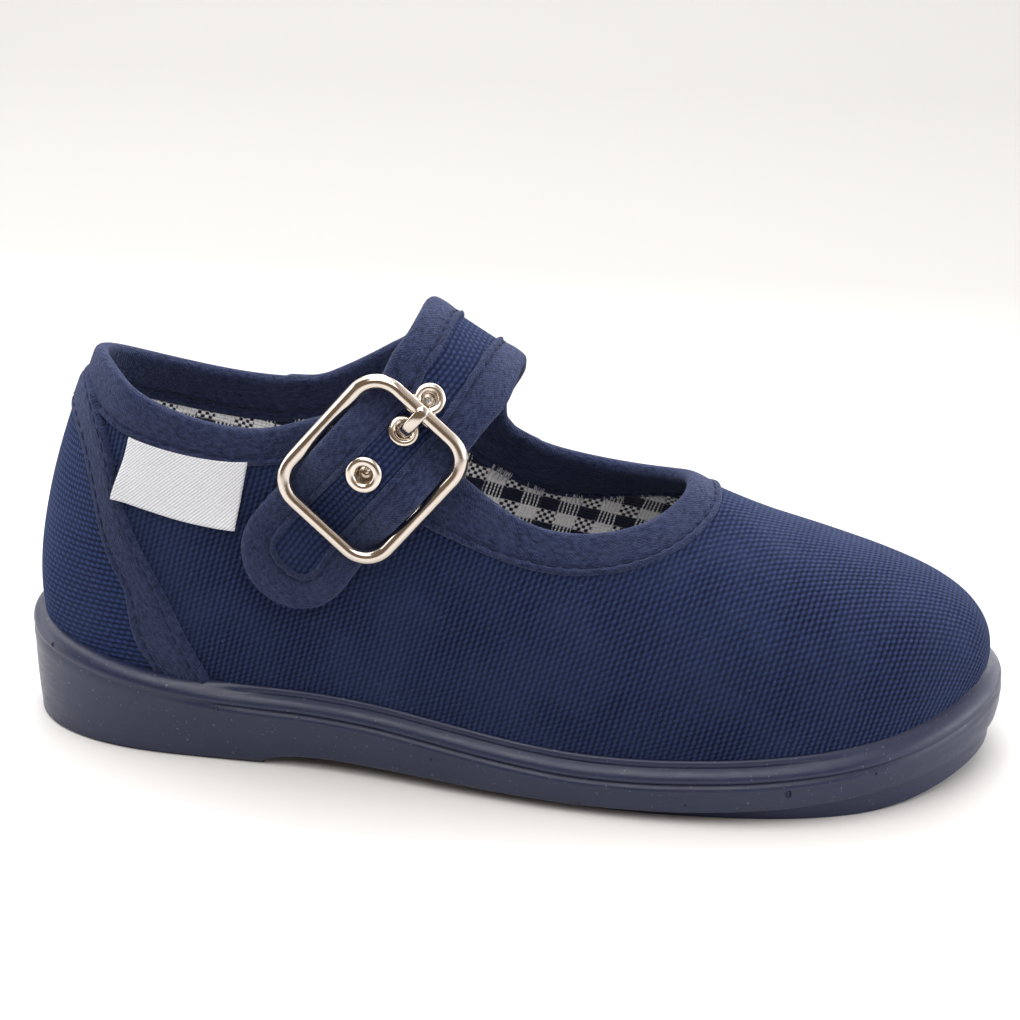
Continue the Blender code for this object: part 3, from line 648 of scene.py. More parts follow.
patchCanvas = canvasMaterial("heel_patch_canvas", patchLook)
cottonTape = tapeMaterial("cotton_tape", tapeLook)
checkLining = ginghamMaterial("gingham_lining", checkLook)
labelCloth = labelMaterial("label_twill", twillLook)
soleRubber = rubberMaterial("moulded_rubber", rubberLook)
frameChrome = chromeMaterial("buckle_chrome", (0.59, 0.53, 0.475), 0.13)
prongChrome = chromeMaterial("prong_chrome", (0.57, 0.51, 0.455), 0.15)
eyeletChrome = chromeMaterial("eyelet_chrome", (0.67, 0.61, 0.545), 0.16)
sewingThread = threadMaterial("sewing_thread", (0.014, 0.020, 0.056))
looseThread = threadMaterial("loose_lining_thread", (0.50, 0.51, 0.56))
print("materials made")


# Stitches run along paths by Geometry Nodes.
stitchLook = {"pitch": 2.3, "length": 1.75, "thread": 0.17}


def makeStitchTree():
    tree = bpy.data.node_groups.new("stitch_run", "GeometryNodeTree")
    sockets = {}
    for label, kind in (("Path", "Geometry"), ("Pitch", "Float"), ("Stitch Length", "Float"),
                        ("Thread Radius", "Float"), ("Seed", "Int"), ("Finish", "Material")):
        sockets[label] = tree.interface.new_socket(label, in_out="INPUT", socket_type="NodeSocket" + kind)
    for label, value in (("Pitch", 0.0023), ("Stitch Length", 0.0018), ("Thread Radius", 0.0002)):
        sockets[label].default_value = value
    tree.interface.new_socket("Stitches", in_out="OUTPUT", socket_type="NodeSocketGeometry")
    given = tree.nodes.new("NodeGroupInput").outputs
    curve = addNode(tree, "GeometryNodeMeshToCurve", {"Mesh": given["Path"]}).outputs[0]
    marks = addNode(tree, "GeometryNodeResampleCurve",
                    {"Curve": curve, "Length": given["Pitch"]}, mode="LENGTH")
    ball = {"Segments": 7, "Rings": 6, "Radius": 1.0}
    bead = addNode(tree, "GeometryNodeMeshUVSphere", ball).outputs["Mesh"]
    halfLength = times(tree, given["Stitch Length"], 0.5)
    size = addNode(tree, "ShaderNodeCombineXYZ",
                   {0: given["Thread Radius"], 1: given["Thread Radius"], 2: halfLength})
    chance = addNode(tree, "FunctionNodeRandomValue", data_type="FLOAT")
    floats = [socket for socket in chance.inputs if socket.type == "VALUE" and socket.enabled]
    floats[0].default_value = 0.82
    floats[1].default_value = 1.12
    tree.links.new(given["Seed"], chance.inputs["Seed"])
    amount = [socket for socket in chance.outputs if socket.type == "VALUE" and socket.enabled][0]
    scaled = addNode(tree, "ShaderNodeVectorMath", {0: size.outputs[0], "Scale": amount}, operation="SCALE")
    turn = addNode(tree, "FunctionNodeAlignRotationToVector",
                   {"Vector": addNode(tree, "GeometryNodeInputTangent").outputs[0]}, axis="Z")
    laid = addNode(tree, "GeometryNodeInstanceOnPoints", {
        "Points": marks.outputs[0], "Instance": bead,
        "Rotation": turn.outputs[0], "Scale": scaled.outputs[0]})
    real = addNode(tree, "GeometryNodeRealizeInstances", {0: laid.outputs[0]})
    smoothed = addNode(tree, "GeometryNodeSetShadeSmooth", {0: real.outputs[0]})
    finished = addNode(tree, "GeometryNodeSetMaterial",
                       {"Geometry": smoothed.outputs[0], "Material": given["Finish"]})
    result = tree.nodes.new("NodeGroupOutput")
    tree.links.new(finished.outputs[0], result.inputs[0])
    return tree, {label: socket.identifier for label, socket in sockets.items()}


stitchTree, stitchSockets = makeStitchTree()


def sewStitches(name, lines, seed, look=stitchLook):
    points, edges = [], []
    for line in lines:
        base = len(points)
        points += (np.asarray(line) * mm).tolist()
        edges += [(base + k, base + k + 1) for k in range(len(line) - 1)]
    mesh = bpy.data.meshes.new(name + "_path")
    mesh.from_pydata(points, edges, [])
    path = bpy.data.objects.new(name + "_path", mesh)
    bpy.context.collection.objects.link(path)
    modifier = path.modifiers.new("stitches", "NODES")
    modifier.node_group = stitchTree
    for label, value in (("Pitch", look["pitch"] * mm), ("Stitch Length", look["length"] * mm),
                         ("Thread Radius", look["thread"] * mm), ("Seed", seed), ("Finish", sewingThread)):
        modifier[stitchSockets[label]] = value
    plain = evaluatedMesh(path)
    plain.name = name
    piece = bpy.data.objects.new(name, plain)
    bpy.context.collection.objects.link(piece)
    bpy.data.objects.remove(path, do_unlink=True)
    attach(piece, "root")


# Cloth is laid over a form: its ribs and the threads along them keep their real spacing.
def layCloth(points, normals, ribAcross, rounds=900):      # least squares, solved in steps
    ribAcross = np.asarray(ribAcross, float) / np.linalg.norm(ribAcross)
    across = ribAcross - normals * (normals @ ribAcross)[..., None]
    weight = np.maximum(np.sum(across * across, -1), 0.02)
    across = unit(across)
    along = np.cross(normals, across)
    results = []
    for grain in (across, along):
        stepU = np.roll(points, -1, 0) - points
        meanU = grain + np.roll(grain, -1, 0)
        wantU = np.sum(stepU * unit(meanU), -1)
        weightU = (weight + np.roll(weight, -1, 0)) / np.sum(stepU ** 2, -1)
        stepV = points[:, 1:] - points[:, :-1]
        wantV = np.sum(stepV * unit(grain[:, 1:] + grain[:, :-1]), -1)
        weightV = (weight[:, 1:] + weight[:, :-1]) / np.sum(stepV ** 2, -1)

        def pull(value):
            flowU = weightU * (np.roll(value, -1, 0) - value)
            flowV = weightV * (value[:, 1:] - value[:, :-1])
            out = np.roll(flowU, 1, 0) - flowU
            out[:, 1:] += flowV
            out[:, :-1] -= flowV
            return out
        want = np.roll(weightU * wantU, 1, 0) - weightU * wantU
        want[:, 1:] += weightV * wantV
        want[:, :-1] -= weightV * wantV
        scale = weightU + np.roll(weightU, 1, 0)
        scale[:, 1:] += weightV
        scale[:, :-1] += weightV
        value = np.sum(points * (ribAcross if grain is across else np.array((0.1, 0.6, 0.6))), -1)
        rest = want - pull(value)
        eased = rest / scale
        step = eased.copy()
        energy = np.sum(rest * eased)
        for _ in range(rounds):
            pulled = pull(step)
            move = energy / np.sum(step * pulled)
            value = value + move * step
            rest = rest - move * pulled
            if np.max(np.abs(rest)) < 1e-5:
                break
            eased = rest / scale
            newEnergy = np.sum(rest * eased)
            step = eased + newEnergy / energy * step
            energy = newEnergy
        results.append(value)
    return np.stack(results, -1)


# The upper: one skin of canvas and one of lining, closed over at the top edge by the binding.
upperLook = {
    "columns": 480, "rows": 62, "canvas": 0.95, "tuck": 3.2, "top": 0.955,
    "ribAcross": (0.96, -0.09, -0.26),
    # soft creases: share, height, length round, length up, depth
    "creases": [
        (0.245, 0.42, 0.020, 0.30, -0.30), (0.262, 0.30, 0.012, 0.22, 0.18),
        (0.200, 0.22, 0.030, 0.10, -0.22), (0.400, 0.20, 0.030, 0.10, -0.35),
        (0.365, 0.12, 0.030, 0.05, 0.20), (0.150, 0.30, 0.010, 0.25, -0.25),
        (0.700, 0.40, 0.020, 0.30, -0.25), (0.620, 0.18, 0.040, 0.08, -0.20),
        (0.850, 0.45, 0.015, 0.30, -0.25), (0.475, 0.34, 0.060, 0.26, 0.75),
    ],
}


def upperSwell(u, v):
    height = 0.10 * ripple(u * 55, v * 5, 1) + 0.06 * ripple(u * 140, v * 9, 2)
    for share, level, wide, tall, depth in upperLook["creases"]:
        away = np.mod(u - share + 0.5, 1.0) - 0.5
        height = height + depth * np.exp(-(away / wide) ** 2 - ((v - level) / tall) ** 2)
    pucker = np.exp(-v / 0.05) * 0.12 * ripple(u * 420, v * 3, 3)       # gathered where the sole grips it
    return height * np.clip(v / 0.04, 0, 1) + pucker


def withFoot(face, u, inset, height):        # one row more below a face, down in the sole
    foot = np.concatenate([insetAt(u, inset), height[:, None]], 1)
    return np.concatenate([foot[:, None], face], 1)


def makeUpper(look):
    u = np.arange(look["columns"]) / look["columns"]
    uGrid, vGrid, base, normal = formGrid(u, np.linspace(0, look["top"], look["rows"]))
    swell = upperSwell(uGrid, vGrid)
    cloth = layCloth(base, normal, look["ribAcross"])
    outer = base + normal * swell[..., None]
    inner = base + normal * (np.minimum(swell, 0.2) - look["canvas"])[..., None]
    tucked = seamAt(u) - look["tuck"]
    outer = withFoot(outer, u, wallInset(u), tucked)
    inner = withFoot(inner, u, wallInset(u) + look["canvas"], tucked)
    drop = cloth[:, :1] - (cloth[:, 1:2] - cloth[:, :1]) * 2
    cloth = np.concatenate([drop, cloth], 1)
    upper = meshPiece("upper_canvas", *sheetParts(outer, inner, closed(cloth), True), ribbedCanvas)
    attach(upper, "root")
    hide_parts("upper")


def makeLining(look):
    count = look["columns"]
    u = np.arange(count) / count
    uGrid, vGrid, base, normal = formGrid(u, np.linspace(0, look["top"], look["rows"]))
    sag = 0.08 * ripple(uGrid * 70, vGrid * 6, 5)
    outer = base - normal * (look["canvas"] + look["gap"])
    inner = base - normal * (wallThickness + sag)[..., None]
    floor = floorAt(rimAt(u)[:, 0]) + 0.4
    outer = withFoot(outer, u, wallInset(u) + look["canvas"] + 0.25, floor)
    inner = withFoot(inner, u, wallInset(u) + wallThickness, floor)
    middle = inner[:, look["middleRow"]]
    marks = alongLine(closed(middle)[:, :2])
    start = np.interp(look["checkShare"], np.arange(count + 1) / count, marks)
    level = start - marks + middle[int(look["checkShare"] * count), 0]      # distance towards the toe
    toeward = np.roll(middle, 1, 0) - np.roll(middle, -1, 0)
    toeward[:, 2] = 0
    toeward = unit(toeward)
    lean = np.sum((inner - middle[:, None]) * toeward[:, None], -1)
    level = level[:, None] + closed(lean)
    height = closed(inner[..., 2])
    slope = math.radians(look["checkSlope"])
    across = level * math.cos(slope) - height * math.sin(slope) - look["checkStart"][0]
    up = level * math.sin(slope) + height * math.cos(slope) - look["checkStart"][1]
    share = np.arange(count + 1)[:, None] / count
    back = np.where((share < 0.2) | (share > 0.8), look["backShift"], 0.0)
    cloth = np.stack([across, up + back], -1)
    lining = meshPiece("lining_gingham", *sheetParts(outer, inner, cloth, True), checkLining)
    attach(lining, "root")
    return inner, across[:-1]


liningLook = {
    "columns": 300, "rows": 42, "middleRow": 24, "canvas": 0.95, "gap": 0.22, "top": 0.955,
    "checkShare": 0.72, "checkSlope": 15.8, "checkStart": (-1.2, 32.6), "backShift": -1.8,
}
makeUpper(upperLook)
print("upper laid")
liningFace, liningAcross = makeLining(liningLook)
print("lining laid")

# The insole: a thin padded sock, crowned, and dished under the heel.
insoleLook = {
    "columns": 180, "rings": 26, "edge": 0.9, "crown": 0.7, "lift": 0.3, "gap": 0.15,
    "middle": 0.86, "dish": 0.9, "dishPlace": -50, "dishReach": 18,
}


def makeInsole(look):
    count = look["columns"]
    u = np.arange(count) / count
    edge = insetAt(u, wallInset(u) + wallThickness + look["gap"])
    centre = np.stack([edge[:, 0] * look["middle"], np.zeros(count)], 1)
    floor = floorAt(rimAt(u)[:, 0])
    shares = 1 - 0.975 * np.linspace(0, 1, look["rings"]) ** 1.4
    top = []
    for share in shares:
        place = centre + (edge - centre) * share
        lift = floorAt(place[:, 0]) + insoleThickness + look["lift"]
        rolled = look["edge"] * smooth(0.90, 1.0, share)
        heelDish = look["dish"] * np.exp(-((place[:, 0] - look["dishPlace"]) / look["dishReach"]) ** 2)
        dish = look["crown"] * (1 - share ** 2) - heelDish * (1 - share ** 2)
        top.append(np.concatenate([place, (lift - rolled + dish)[:, None]], 1))
    low = [np.concatenate([centre + (edge - centre) * share, (floor + 0.35)[:, None]], 1)
           for share in (0.0, 0.99)]
    rows = np.array(low + top)
    rows = np.swapaxes(rows, 0, 1)
    insole = meshPiece("insole_pad", *gridParts(rows, closed(rows[..., :2]), True, False), checkLining)
    solid = bmesh.new()
    solid.from_mesh(insole.data)
    middles = bmesh.ops.holes_fill(solid, edges=[edge for edge in solid.edges if edge.is_boundary], sides=0)
    clothLayer = solid.loops.layers.uv["cloth"]
    for face in middles["faces"]:
        for loop in face.loops:
            loop[clothLayer].uv = loop.vert.co.xy / mm
    bmesh.ops.remove_doubles(solid, verts=solid.verts, dist=1e-6)
    bmesh.ops.recalc_face_normals(solid, faces=solid.faces)
    solid.to_mesh(insole.data)
    solid.free()
    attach(insole, "root")
    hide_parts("insole")


makeInsole(insoleLook)
print("insole padded")

# The outsole: a moulded band with a lip round the heel, a ribbed bead along the sides,
# lugs under heel and ball.
soleLook = {
    "columns": 400,
    # down from the canvas: (side drop, side inset, heel drop, heel inset)
    "edgeTable": [
        (-0.30, 2.45, 0.00, 3.60), (-0.28, 2.20, 0.02, 3.00), (-0.10, 2.00, 0.05, 2.60),
        (0.15, 1.86, 0.10, 2.20), (0.45, 1.82, 0.22, 1.75), (0.66, 1.90, 0.42, 1.30),
        (0.82, 1.92, 0.68, 0.90), (0.95, 1.68, 1.00, 0.55), (1.15, 1.22, 1.35, 0.30),
        (1.50, 0.75, 1.75, 0.12), (1.95, 0.42, 2.10, 0.04), (2.40, 0.30, 2.32, 0.08),
        (2.68, 0.38, 2.50, 0.16), (2.85, 0.62, 2.65, 0.21), (3.00, 0.74, 2.82, 0.21),
        (3.15, 0.62, 3.02, 0.17), (3.35, 0.30, 3.28, 0.11), (3.70, 0.06, 3.70, 0.05),
        (4.30, 0.00, 4.30, 0.04),
    ],
    # underside of the band: (x, z); the tread stands in below it and turns up at the toe
    "bandTable": [(-80, 0.0), (-60, 0.0), (-37, 0.0), (-32, 1.4), (-26, 1.7), (-14, 1.5), (0, 1.1), (14, 1.0),
                  (30, 1.4), (46, 2.4), (56, 3.3), (64, 4.2), (72, 5.3), (78, 7.0)],
    "spring": 3.2, "springStart": 57.0, "toe": 78.0,
    # section of the arch: (x, z)
    "arch": [(-24.0, 1.7), (-18.0, 1.62), (-12.0, 1.4), (-6.0, 0.95), (0.0, 0.35), (6.0, -0.4), (8.0, -2.0)],
    "wallRows": [0.10, 0.22, 0.36, 0.50, 0.64, 0.78, 0.90, 0.97],
    "wallFoot": 0.6, "belly": 0.28, "taper": 0.10, "heelTaper": 0.35,
    # small moulding pits: share, height, size
    "pits": [(0.3725, 5.6, 0.50), (0.1235, 9.4, 0.38), (0.160, 9.0, 0.34), (0.285, 1.6, 0.55),
             (0.0425, 15.0, 0.40), (0.33, 3.4, 0.22), (0.41, 7.6, 0.22), (0.22, 5.5, 0.22),
             (0.63, 5.0, 0.4), (0.72, 4.2, 0.3), (0.88, 7.0, 0.35)],
    # tread grooves: (x, half length)
    "grooves": [(-66, 9.0), (-58, 12.5), (-50, 14.0), (-42, 14.5),
                (2, 18.0), (11, 20.0), (20, 21.5), (29, 22.0), (38, 21.5)],
    "grooveWidth": 1.3, "grooveDepth": 1.1,
    # finer lines between them: distances past each groove, half lengths under heel and ball
    "tickSteps": (3.0, 5.6), "tickWidth": 0.35, "tickDepth": 0.45, "tickLengths": (11.5, 16.5),
}


def boxPart(x, halfLength, halfWidth, low, high):
    corners = [(x + halfWidth * across, halfLength * along, z) for z in (low, high)
               for across, along in ((-1, -1), (1, -1), (1, 1), (-1, 1))]
    faces = [(0, 1, 2, 3), (4, 5, 6, 7), (0, 1, 5, 4), (1, 2, 6, 5), (2, 3, 7, 6), (3, 0, 4, 7)]
    return corners, faces


def pitPart(centre, radius):
    rings = []
    for lat in np.radians((-75, -45, -15, 15, 45, 75)):
        for turn in turnsOf(10):
            level = math.cos(lat)
            way = (level * math.cos(turn), level * math.sin(turn), math.sin(lat) * 1.3)
            rings.append(centre + radius * np.array(way))
    faces = [(r * 10 + k, r * 10 + (k + 1) % 10, (r + 1) * 10 + (k + 1) % 10, (r + 1) * 10 + k)
             for r in range(5) for k in range(10)]
    return rings, faces + [tuple(range(10)), tuple(range(50, 60))]


def cutAway(piece, parts):
    points, faces = [], []
    for somePoints, someFaces in parts:
        faces += [tuple(len(points) + k for k in face) for face in someFaces]
        points += [tuple(point) for point in somePoints]
    cutter = meshPiece(piece.name + "_cutter", points, faces)
    modifier = piece.modifiers.new("cut", "BOOLEAN")
    modifier.operation = "DIFFERENCE"
    modifier.solver = "EXACT"
    modifier.object = cutter
    mesh = evaluatedMesh(piece)
    piece.modifiers.clear()
    piece.data = mesh
    bpy.data.objects.remove(cutter, do_unlink=True)


def makeOutsole(look):
    count = look["columns"]
    u = np.arange(count) / count
    seam = seamAt(u)
    rimX = rimAt(u)[:, 0]
    rise = np.clip((rimX - look["springStart"]) / (look["toe"] - look["springStart"]), 0, 1)
    spring = look["spring"] * rise ** 2
    bandStep = smooth(0, 1, (rimX - heelBreast) / 5.0)
    bandLow = betweenRows(rimX, look["bandTable"])
    tuck = bandStep * (1 - 0.55 * smooth(35.0, 62.0, rimX))
    side = smooth(0.095, 0.150, fromHeel(u)) * (1 - 0.75 * smooth(0.36, 0.45, fromHeel(u)))
    waver = 0.05 * ripple(u * 60, 0, 7)
    ridge = wallInset(u)

    def ring(inset, z):
        return np.concatenate([insetAt(u, inset), np.broadcast_to(z, (count,))[:, None]], 1)
    floor = floorAt(rimX)
    rings = [ring(ridge + 0.25, floor), ring(ridge + 0.25, seam - 1.0)]
    for sideDrop, sideInset, heelDrop, heelInset in look["edgeTable"]:
        drop = sideDrop * side + heelDrop * (1 - side)
        inset = sideInset * side + np.minimum(heelInset, ridge + 0.1) * (1 - side)
        rings.append(ring(inset + waver * 0.5, seam - drop + waver * 0.6))
    start = seam - look["edgeTable"][-1][0]
    low = bandLow + look["wallFoot"]
    for share in look["wallRows"]:
        belly = look["belly"] * (1 - math.sin(math.pi * (0.15 + 0.70 * share)))
        taper = look["taper"] * share + look["heelTaper"] * (1 - side) * share
        rings.append(ring(belly + taper + waver * 0.3, start + (low - start) * share))
    rings += [
        ring(np.full(count, 0.55), bandLow + 0.38),
        ring(np.full(count, 0.85), bandLow + 0.18),
        ring(0.8 + 1.5 * tuck, bandLow + 0.12 + 0.14 * bandStep),
        ring(0.86 + 1.55 * tuck, spring + (bandLow - spring) * 0.5 + 0.12),
        ring(0.92 + 1.70 * tuck, spring + 0.10),
        ring(1.10 + 1.72 * tuck, spring),
    ]
    rings = np.array(rings)
    faces = []
    k = np.arange(count)
    n = (k + 1) % count
    for r in range(len(rings) - 1):
        low, high = r * count, (r + 1) * count
        faces += np.stack([low + k, low + n, high + n, high + k], 1).tolist()
    for base in (0, (len(rings) - 1) * count):
        faces.append((base, base + 1, base + count - 1))
        for i in range(1, count // 2 - 1):
            faces.append((base + i, base + i + 1, base + count - i - 1, base + count - i))
        middle = count // 2
        faces.append((base + middle - 1, base + middle, base + middle + 1))
    outsole = meshPiece("outsole_rubber", rings.reshape(-1, 3), faces, None, soleRubber)
    breast = heelBreast - 1.0
    bow = [(breast, -2.0)]
    bow += [(breast + 3.4 * (1 - math.cos(a)), -2.0 + 3.6 * math.sin(a)) for a in np.linspace(0.2, 1.4, 7)]
    bow += look["arch"]
    arch = [(x, y, z) for y in (-40, 40) for x, z in bow]
    cutAway(outsole, [(arch, prismFaces(len(bow)))])
    cutAway(outsole, [boxPart(x, reach, look["grooveWidth"], -1.0, look["grooveDepth"])
                      for x, reach in look["grooves"]])
    ticks = [x + step for x, _ in look["grooves"] for step in look["tickSteps"]]
    heelTick, ballTick = look["tickLengths"]
    cutAway(outsole, [boxPart(x, heelTick if x < 0 else ballTick, look["tickWidth"], -1.0, look["tickDepth"])
                      for x in ticks])
    pits = []
    for share, height, size in look["pits"]:
        spot = np.concatenate([insetAt(np.array([share]), np.array([0.05]))[0], [height]])
        pits.append(pitPart(spot, size))
    cutAway(outsole, pits)
    smoothWithin(outsole, 42)
    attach(outsole, "root")
    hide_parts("outsole")


makeOutsole(soleLook)
print("outsole moulded")

# The strap's middle surface: distances run up from the root and down to the round end.
run = unit(strapRun - buckleFacing * (strapRun @ buckleFacing))
cross = np.cross(buckleFacing, run)
strapHalf = 0.75                            # half the strap's thickness
strapColumns = 9                            # points across each row of the strap
tipTurns = (0, 18, 34, 48, 60, 70, 79)      # rows of its round end, degrees round from the start of it
tipLift = 0.4 + strapHalf                   # middle of the strap over the quarter, at the round end
wallHeight = 36.0                           # up the inner wall from the sole to the strap's root
frameLift = 1.1 + 0.25 + strapHalf          # strap over the centre bar and under the ends of the frame


def atBuckle(along, side, out):
    return buckleCentre + run * along + cross * side + buckleFacing * out


def liftAt(along):
    return -frameLift + frameLift * (1 + math.cos(math.pi * min(abs(along) / 10.0, 1.0)))


def rootShare(side):                       # share round the foot below a place across the strap
    frontShare, backShare = strapRoot
    return backShare + (frontShare - backShare) * (side + 1) / 2


def strapRows():
    side = np.linspace(-1, 1, strapColumns)
    share = rootShare(side)
    stations = []
    for x, y, z, wx, wy, wz, half in strapTable:
        stations.append((np.array((x, y, z)), unit(np.array((wx, wy, wz))), half))
    held = (1.5, 3.0, 5.0, 7.0, 9.0, buckleReach)
    for along in [-step for step in reversed(held)] + [0.0, *held]:
        stations.append((atBuckle(along, 0.0, liftAt(along)), cross, 8.75))
    rows = [lastPoint(share, 1.0) - lastNormal(share, 1.0) * wallThickness / 2]
    first = stations[0][0] + stations[0][1] * (side * stations[0][2])[:, None]
    for blend in (0.3, 0.65):
        rows.append(rows[0] * (1 - blend) + first * blend)
    for centre, direction, half in stations:
        rows.append(centre + direction * (side * half)[:, None])
    tipX, tipZ = strapTipCentre
    start = stations[-1][0]
    way = np.array((tipX - start[0], tipZ - start[2]))
    wayLength = np.linalg.norm(way)
    way = way / wayLength
    acrossWay = np.array((-way[1], way[0]))
    tips = [(-0.45 * wayLength, 8.9)]
    tips += [(strapTipRadius * math.sin(a), strapTipRadius * math.cos(a)) for a in np.radians(tipTurns)]
    for distance, half in tips:
        spot = np.array((tipX, tipZ)) + way * distance + acrossWay * (side * half)[:, None]
        rows.append(quarterPoint(spot[:, 0], spot[:, 1], tipLift))
    return np.array(rows), way, acrossWay


strapGrid, tipWay, tipAcross = strapRows()
strapMarks = alongLine(strapGrid[:, strapColumns // 2])
strapCurve = chordThrough(strapMarks, strapGrid)
tipMark = strapMarks[-len(tipTurns)]        # where the round end starts


def sheetPoint(along, side):
    along, side = np.broadcast_arrays(np.asarray(along, float), np.asarray(side, float))
    share = rootShare(side)
    v = 1 + np.minimum(along, 0) / wallHeight
    below = lastPoint(share, v) - lastNormal(share, v) * wallThickness / 2
    rows = strapCurve(np.clip(along, 0, strapMarks[-1]))
    position = (np.clip(side, -1.8, 1.8) + 1) * (strapColumns // 2)
    k = np.clip(np.floor(position).astype(int), 0, strapColumns - 2)
    part = (position - k)[..., None]
    low = np.take_along_axis(rows, k[..., None, None], -2)[..., 0, :]
    high = np.take_along_axis(rows, k[..., None, None] + 1, -2)[..., 0, :]
    root = strapGrid[0][k] * (1 - part) + strapGrid[0][k + 1] * part
    ease = np.exp(-np.maximum(along, 0) / 4.0)[..., None]      # the strap grows out of the collar
    return np.where((along <= 0)[..., None], below, low * (1 - part) + high * part + (below - root) * ease)


def sheetSlopes(along, side):
    here = sheetPoint(along, side)
    ahead = np.where(np.abs(side) < 1.7, 0.3, 0.0)             # only the collar itself lies further out
    alongSlope = (sheetPoint(along + ahead, side) - sheetPoint(along - 0.3, side)) / (0.3 + ahead)[..., None]
    sideSlope = (sheetPoint(along, side + 0.02) - sheetPoint(along, side - 0.02)) / 0.04
    return here, alongSlope, sideSlope, unit(np.cross(alongSlope, sideSlope))


# The binding: one tape folded over the whole edge, round the collar, up one side of the
# strap, round its end and home along the other side.
bindingLook = {
    # spacing of points along the edge; how far in each line is walked, in what steps; rise of the stitches
    "spacing": 0.55, "reach": 14.0, "step": 0.5, "stitchUp": 1.25,
    # lift of the tape outside, on the strap's crest, and inside on collar and strap;
    # half the collar's thickness; how far in from the edge the fold lies
    "tape": 0.40, "strapTape": 0.50, "under": (0.26, 0.18), "collarHalf": 0.85, "roll": 1.1,
    # back and front corner of the strap's root: where its bend ends up the strap, and out on the collar
    "corners": ((6.0, 1.5), (4.0, 1.33)),
    # on the strap: (distance up it, width), and how much wider the tape is on the toe side
    "strapWidths": [(0, 5.0), (12, 4.5), (30, 4.5), (42, 4.8), (60, 4.6), (72, 4.3)], "tipWidth": 5.6,
    "flare": [(20, 0.0), (23.3, 0.3), (28.3, 1.0), (33.7, 1.6), (38.4, 0.8), (44, 0.0)],
    # on the collar: (share round the foot, width outside, inside, how far the edge sits below the solid's)
    "widths": [
        (0.00, 8.0, 8.2, 0.0), (0.05, 7.7, 8.0, 0.2), (0.10, 6.9, 8.0, 0.4), (0.14, 6.5, 8.0, 0.9),
        (0.17, 6.6, 8.0, 0.8), (0.21, 8.0, 8.5, 0.4), (0.245, 10.0, 9.0, 0.2), (0.28, 8.2, 8.5, 0.6),
        (0.32, 7.0, 8.2, 0.4), (0.38, 6.8, 8.0, 0.1), (0.43, 6.1, 7.8, 0.0), (0.50, 5.6, 7.6, 0.1),
        (0.57, 6.0, 7.8, 0.1), (0.63, 6.6, 8.4, -0.2), (0.66, 6.8, 9.4, -0.6), (0.68, 7.0, 9.9, -0.75),
        (0.70, 7.2, 9.9, -0.5), (0.72, 7.2, 9.6, -0.1), (0.75, 7.2, 9.4, 0.1), (0.80, 7.2, 8.8, 0.2),
        (0.84, 7.2, 8.0, 0.3), (0.87, 7.4, 8.0, 0.15), (0.90, 7.6, 8.0, -0.05), (0.95, 7.9, 8.0, -0.1),
    ],
}
bindingWidths = bindingLook["widths"]
outsideWidth, insideWidth, edgeDrop = [
    loopThrough(columnOf(bindingWidths, 0), columnOf(bindingWidths, k)) for k in (1, 2, 3)]


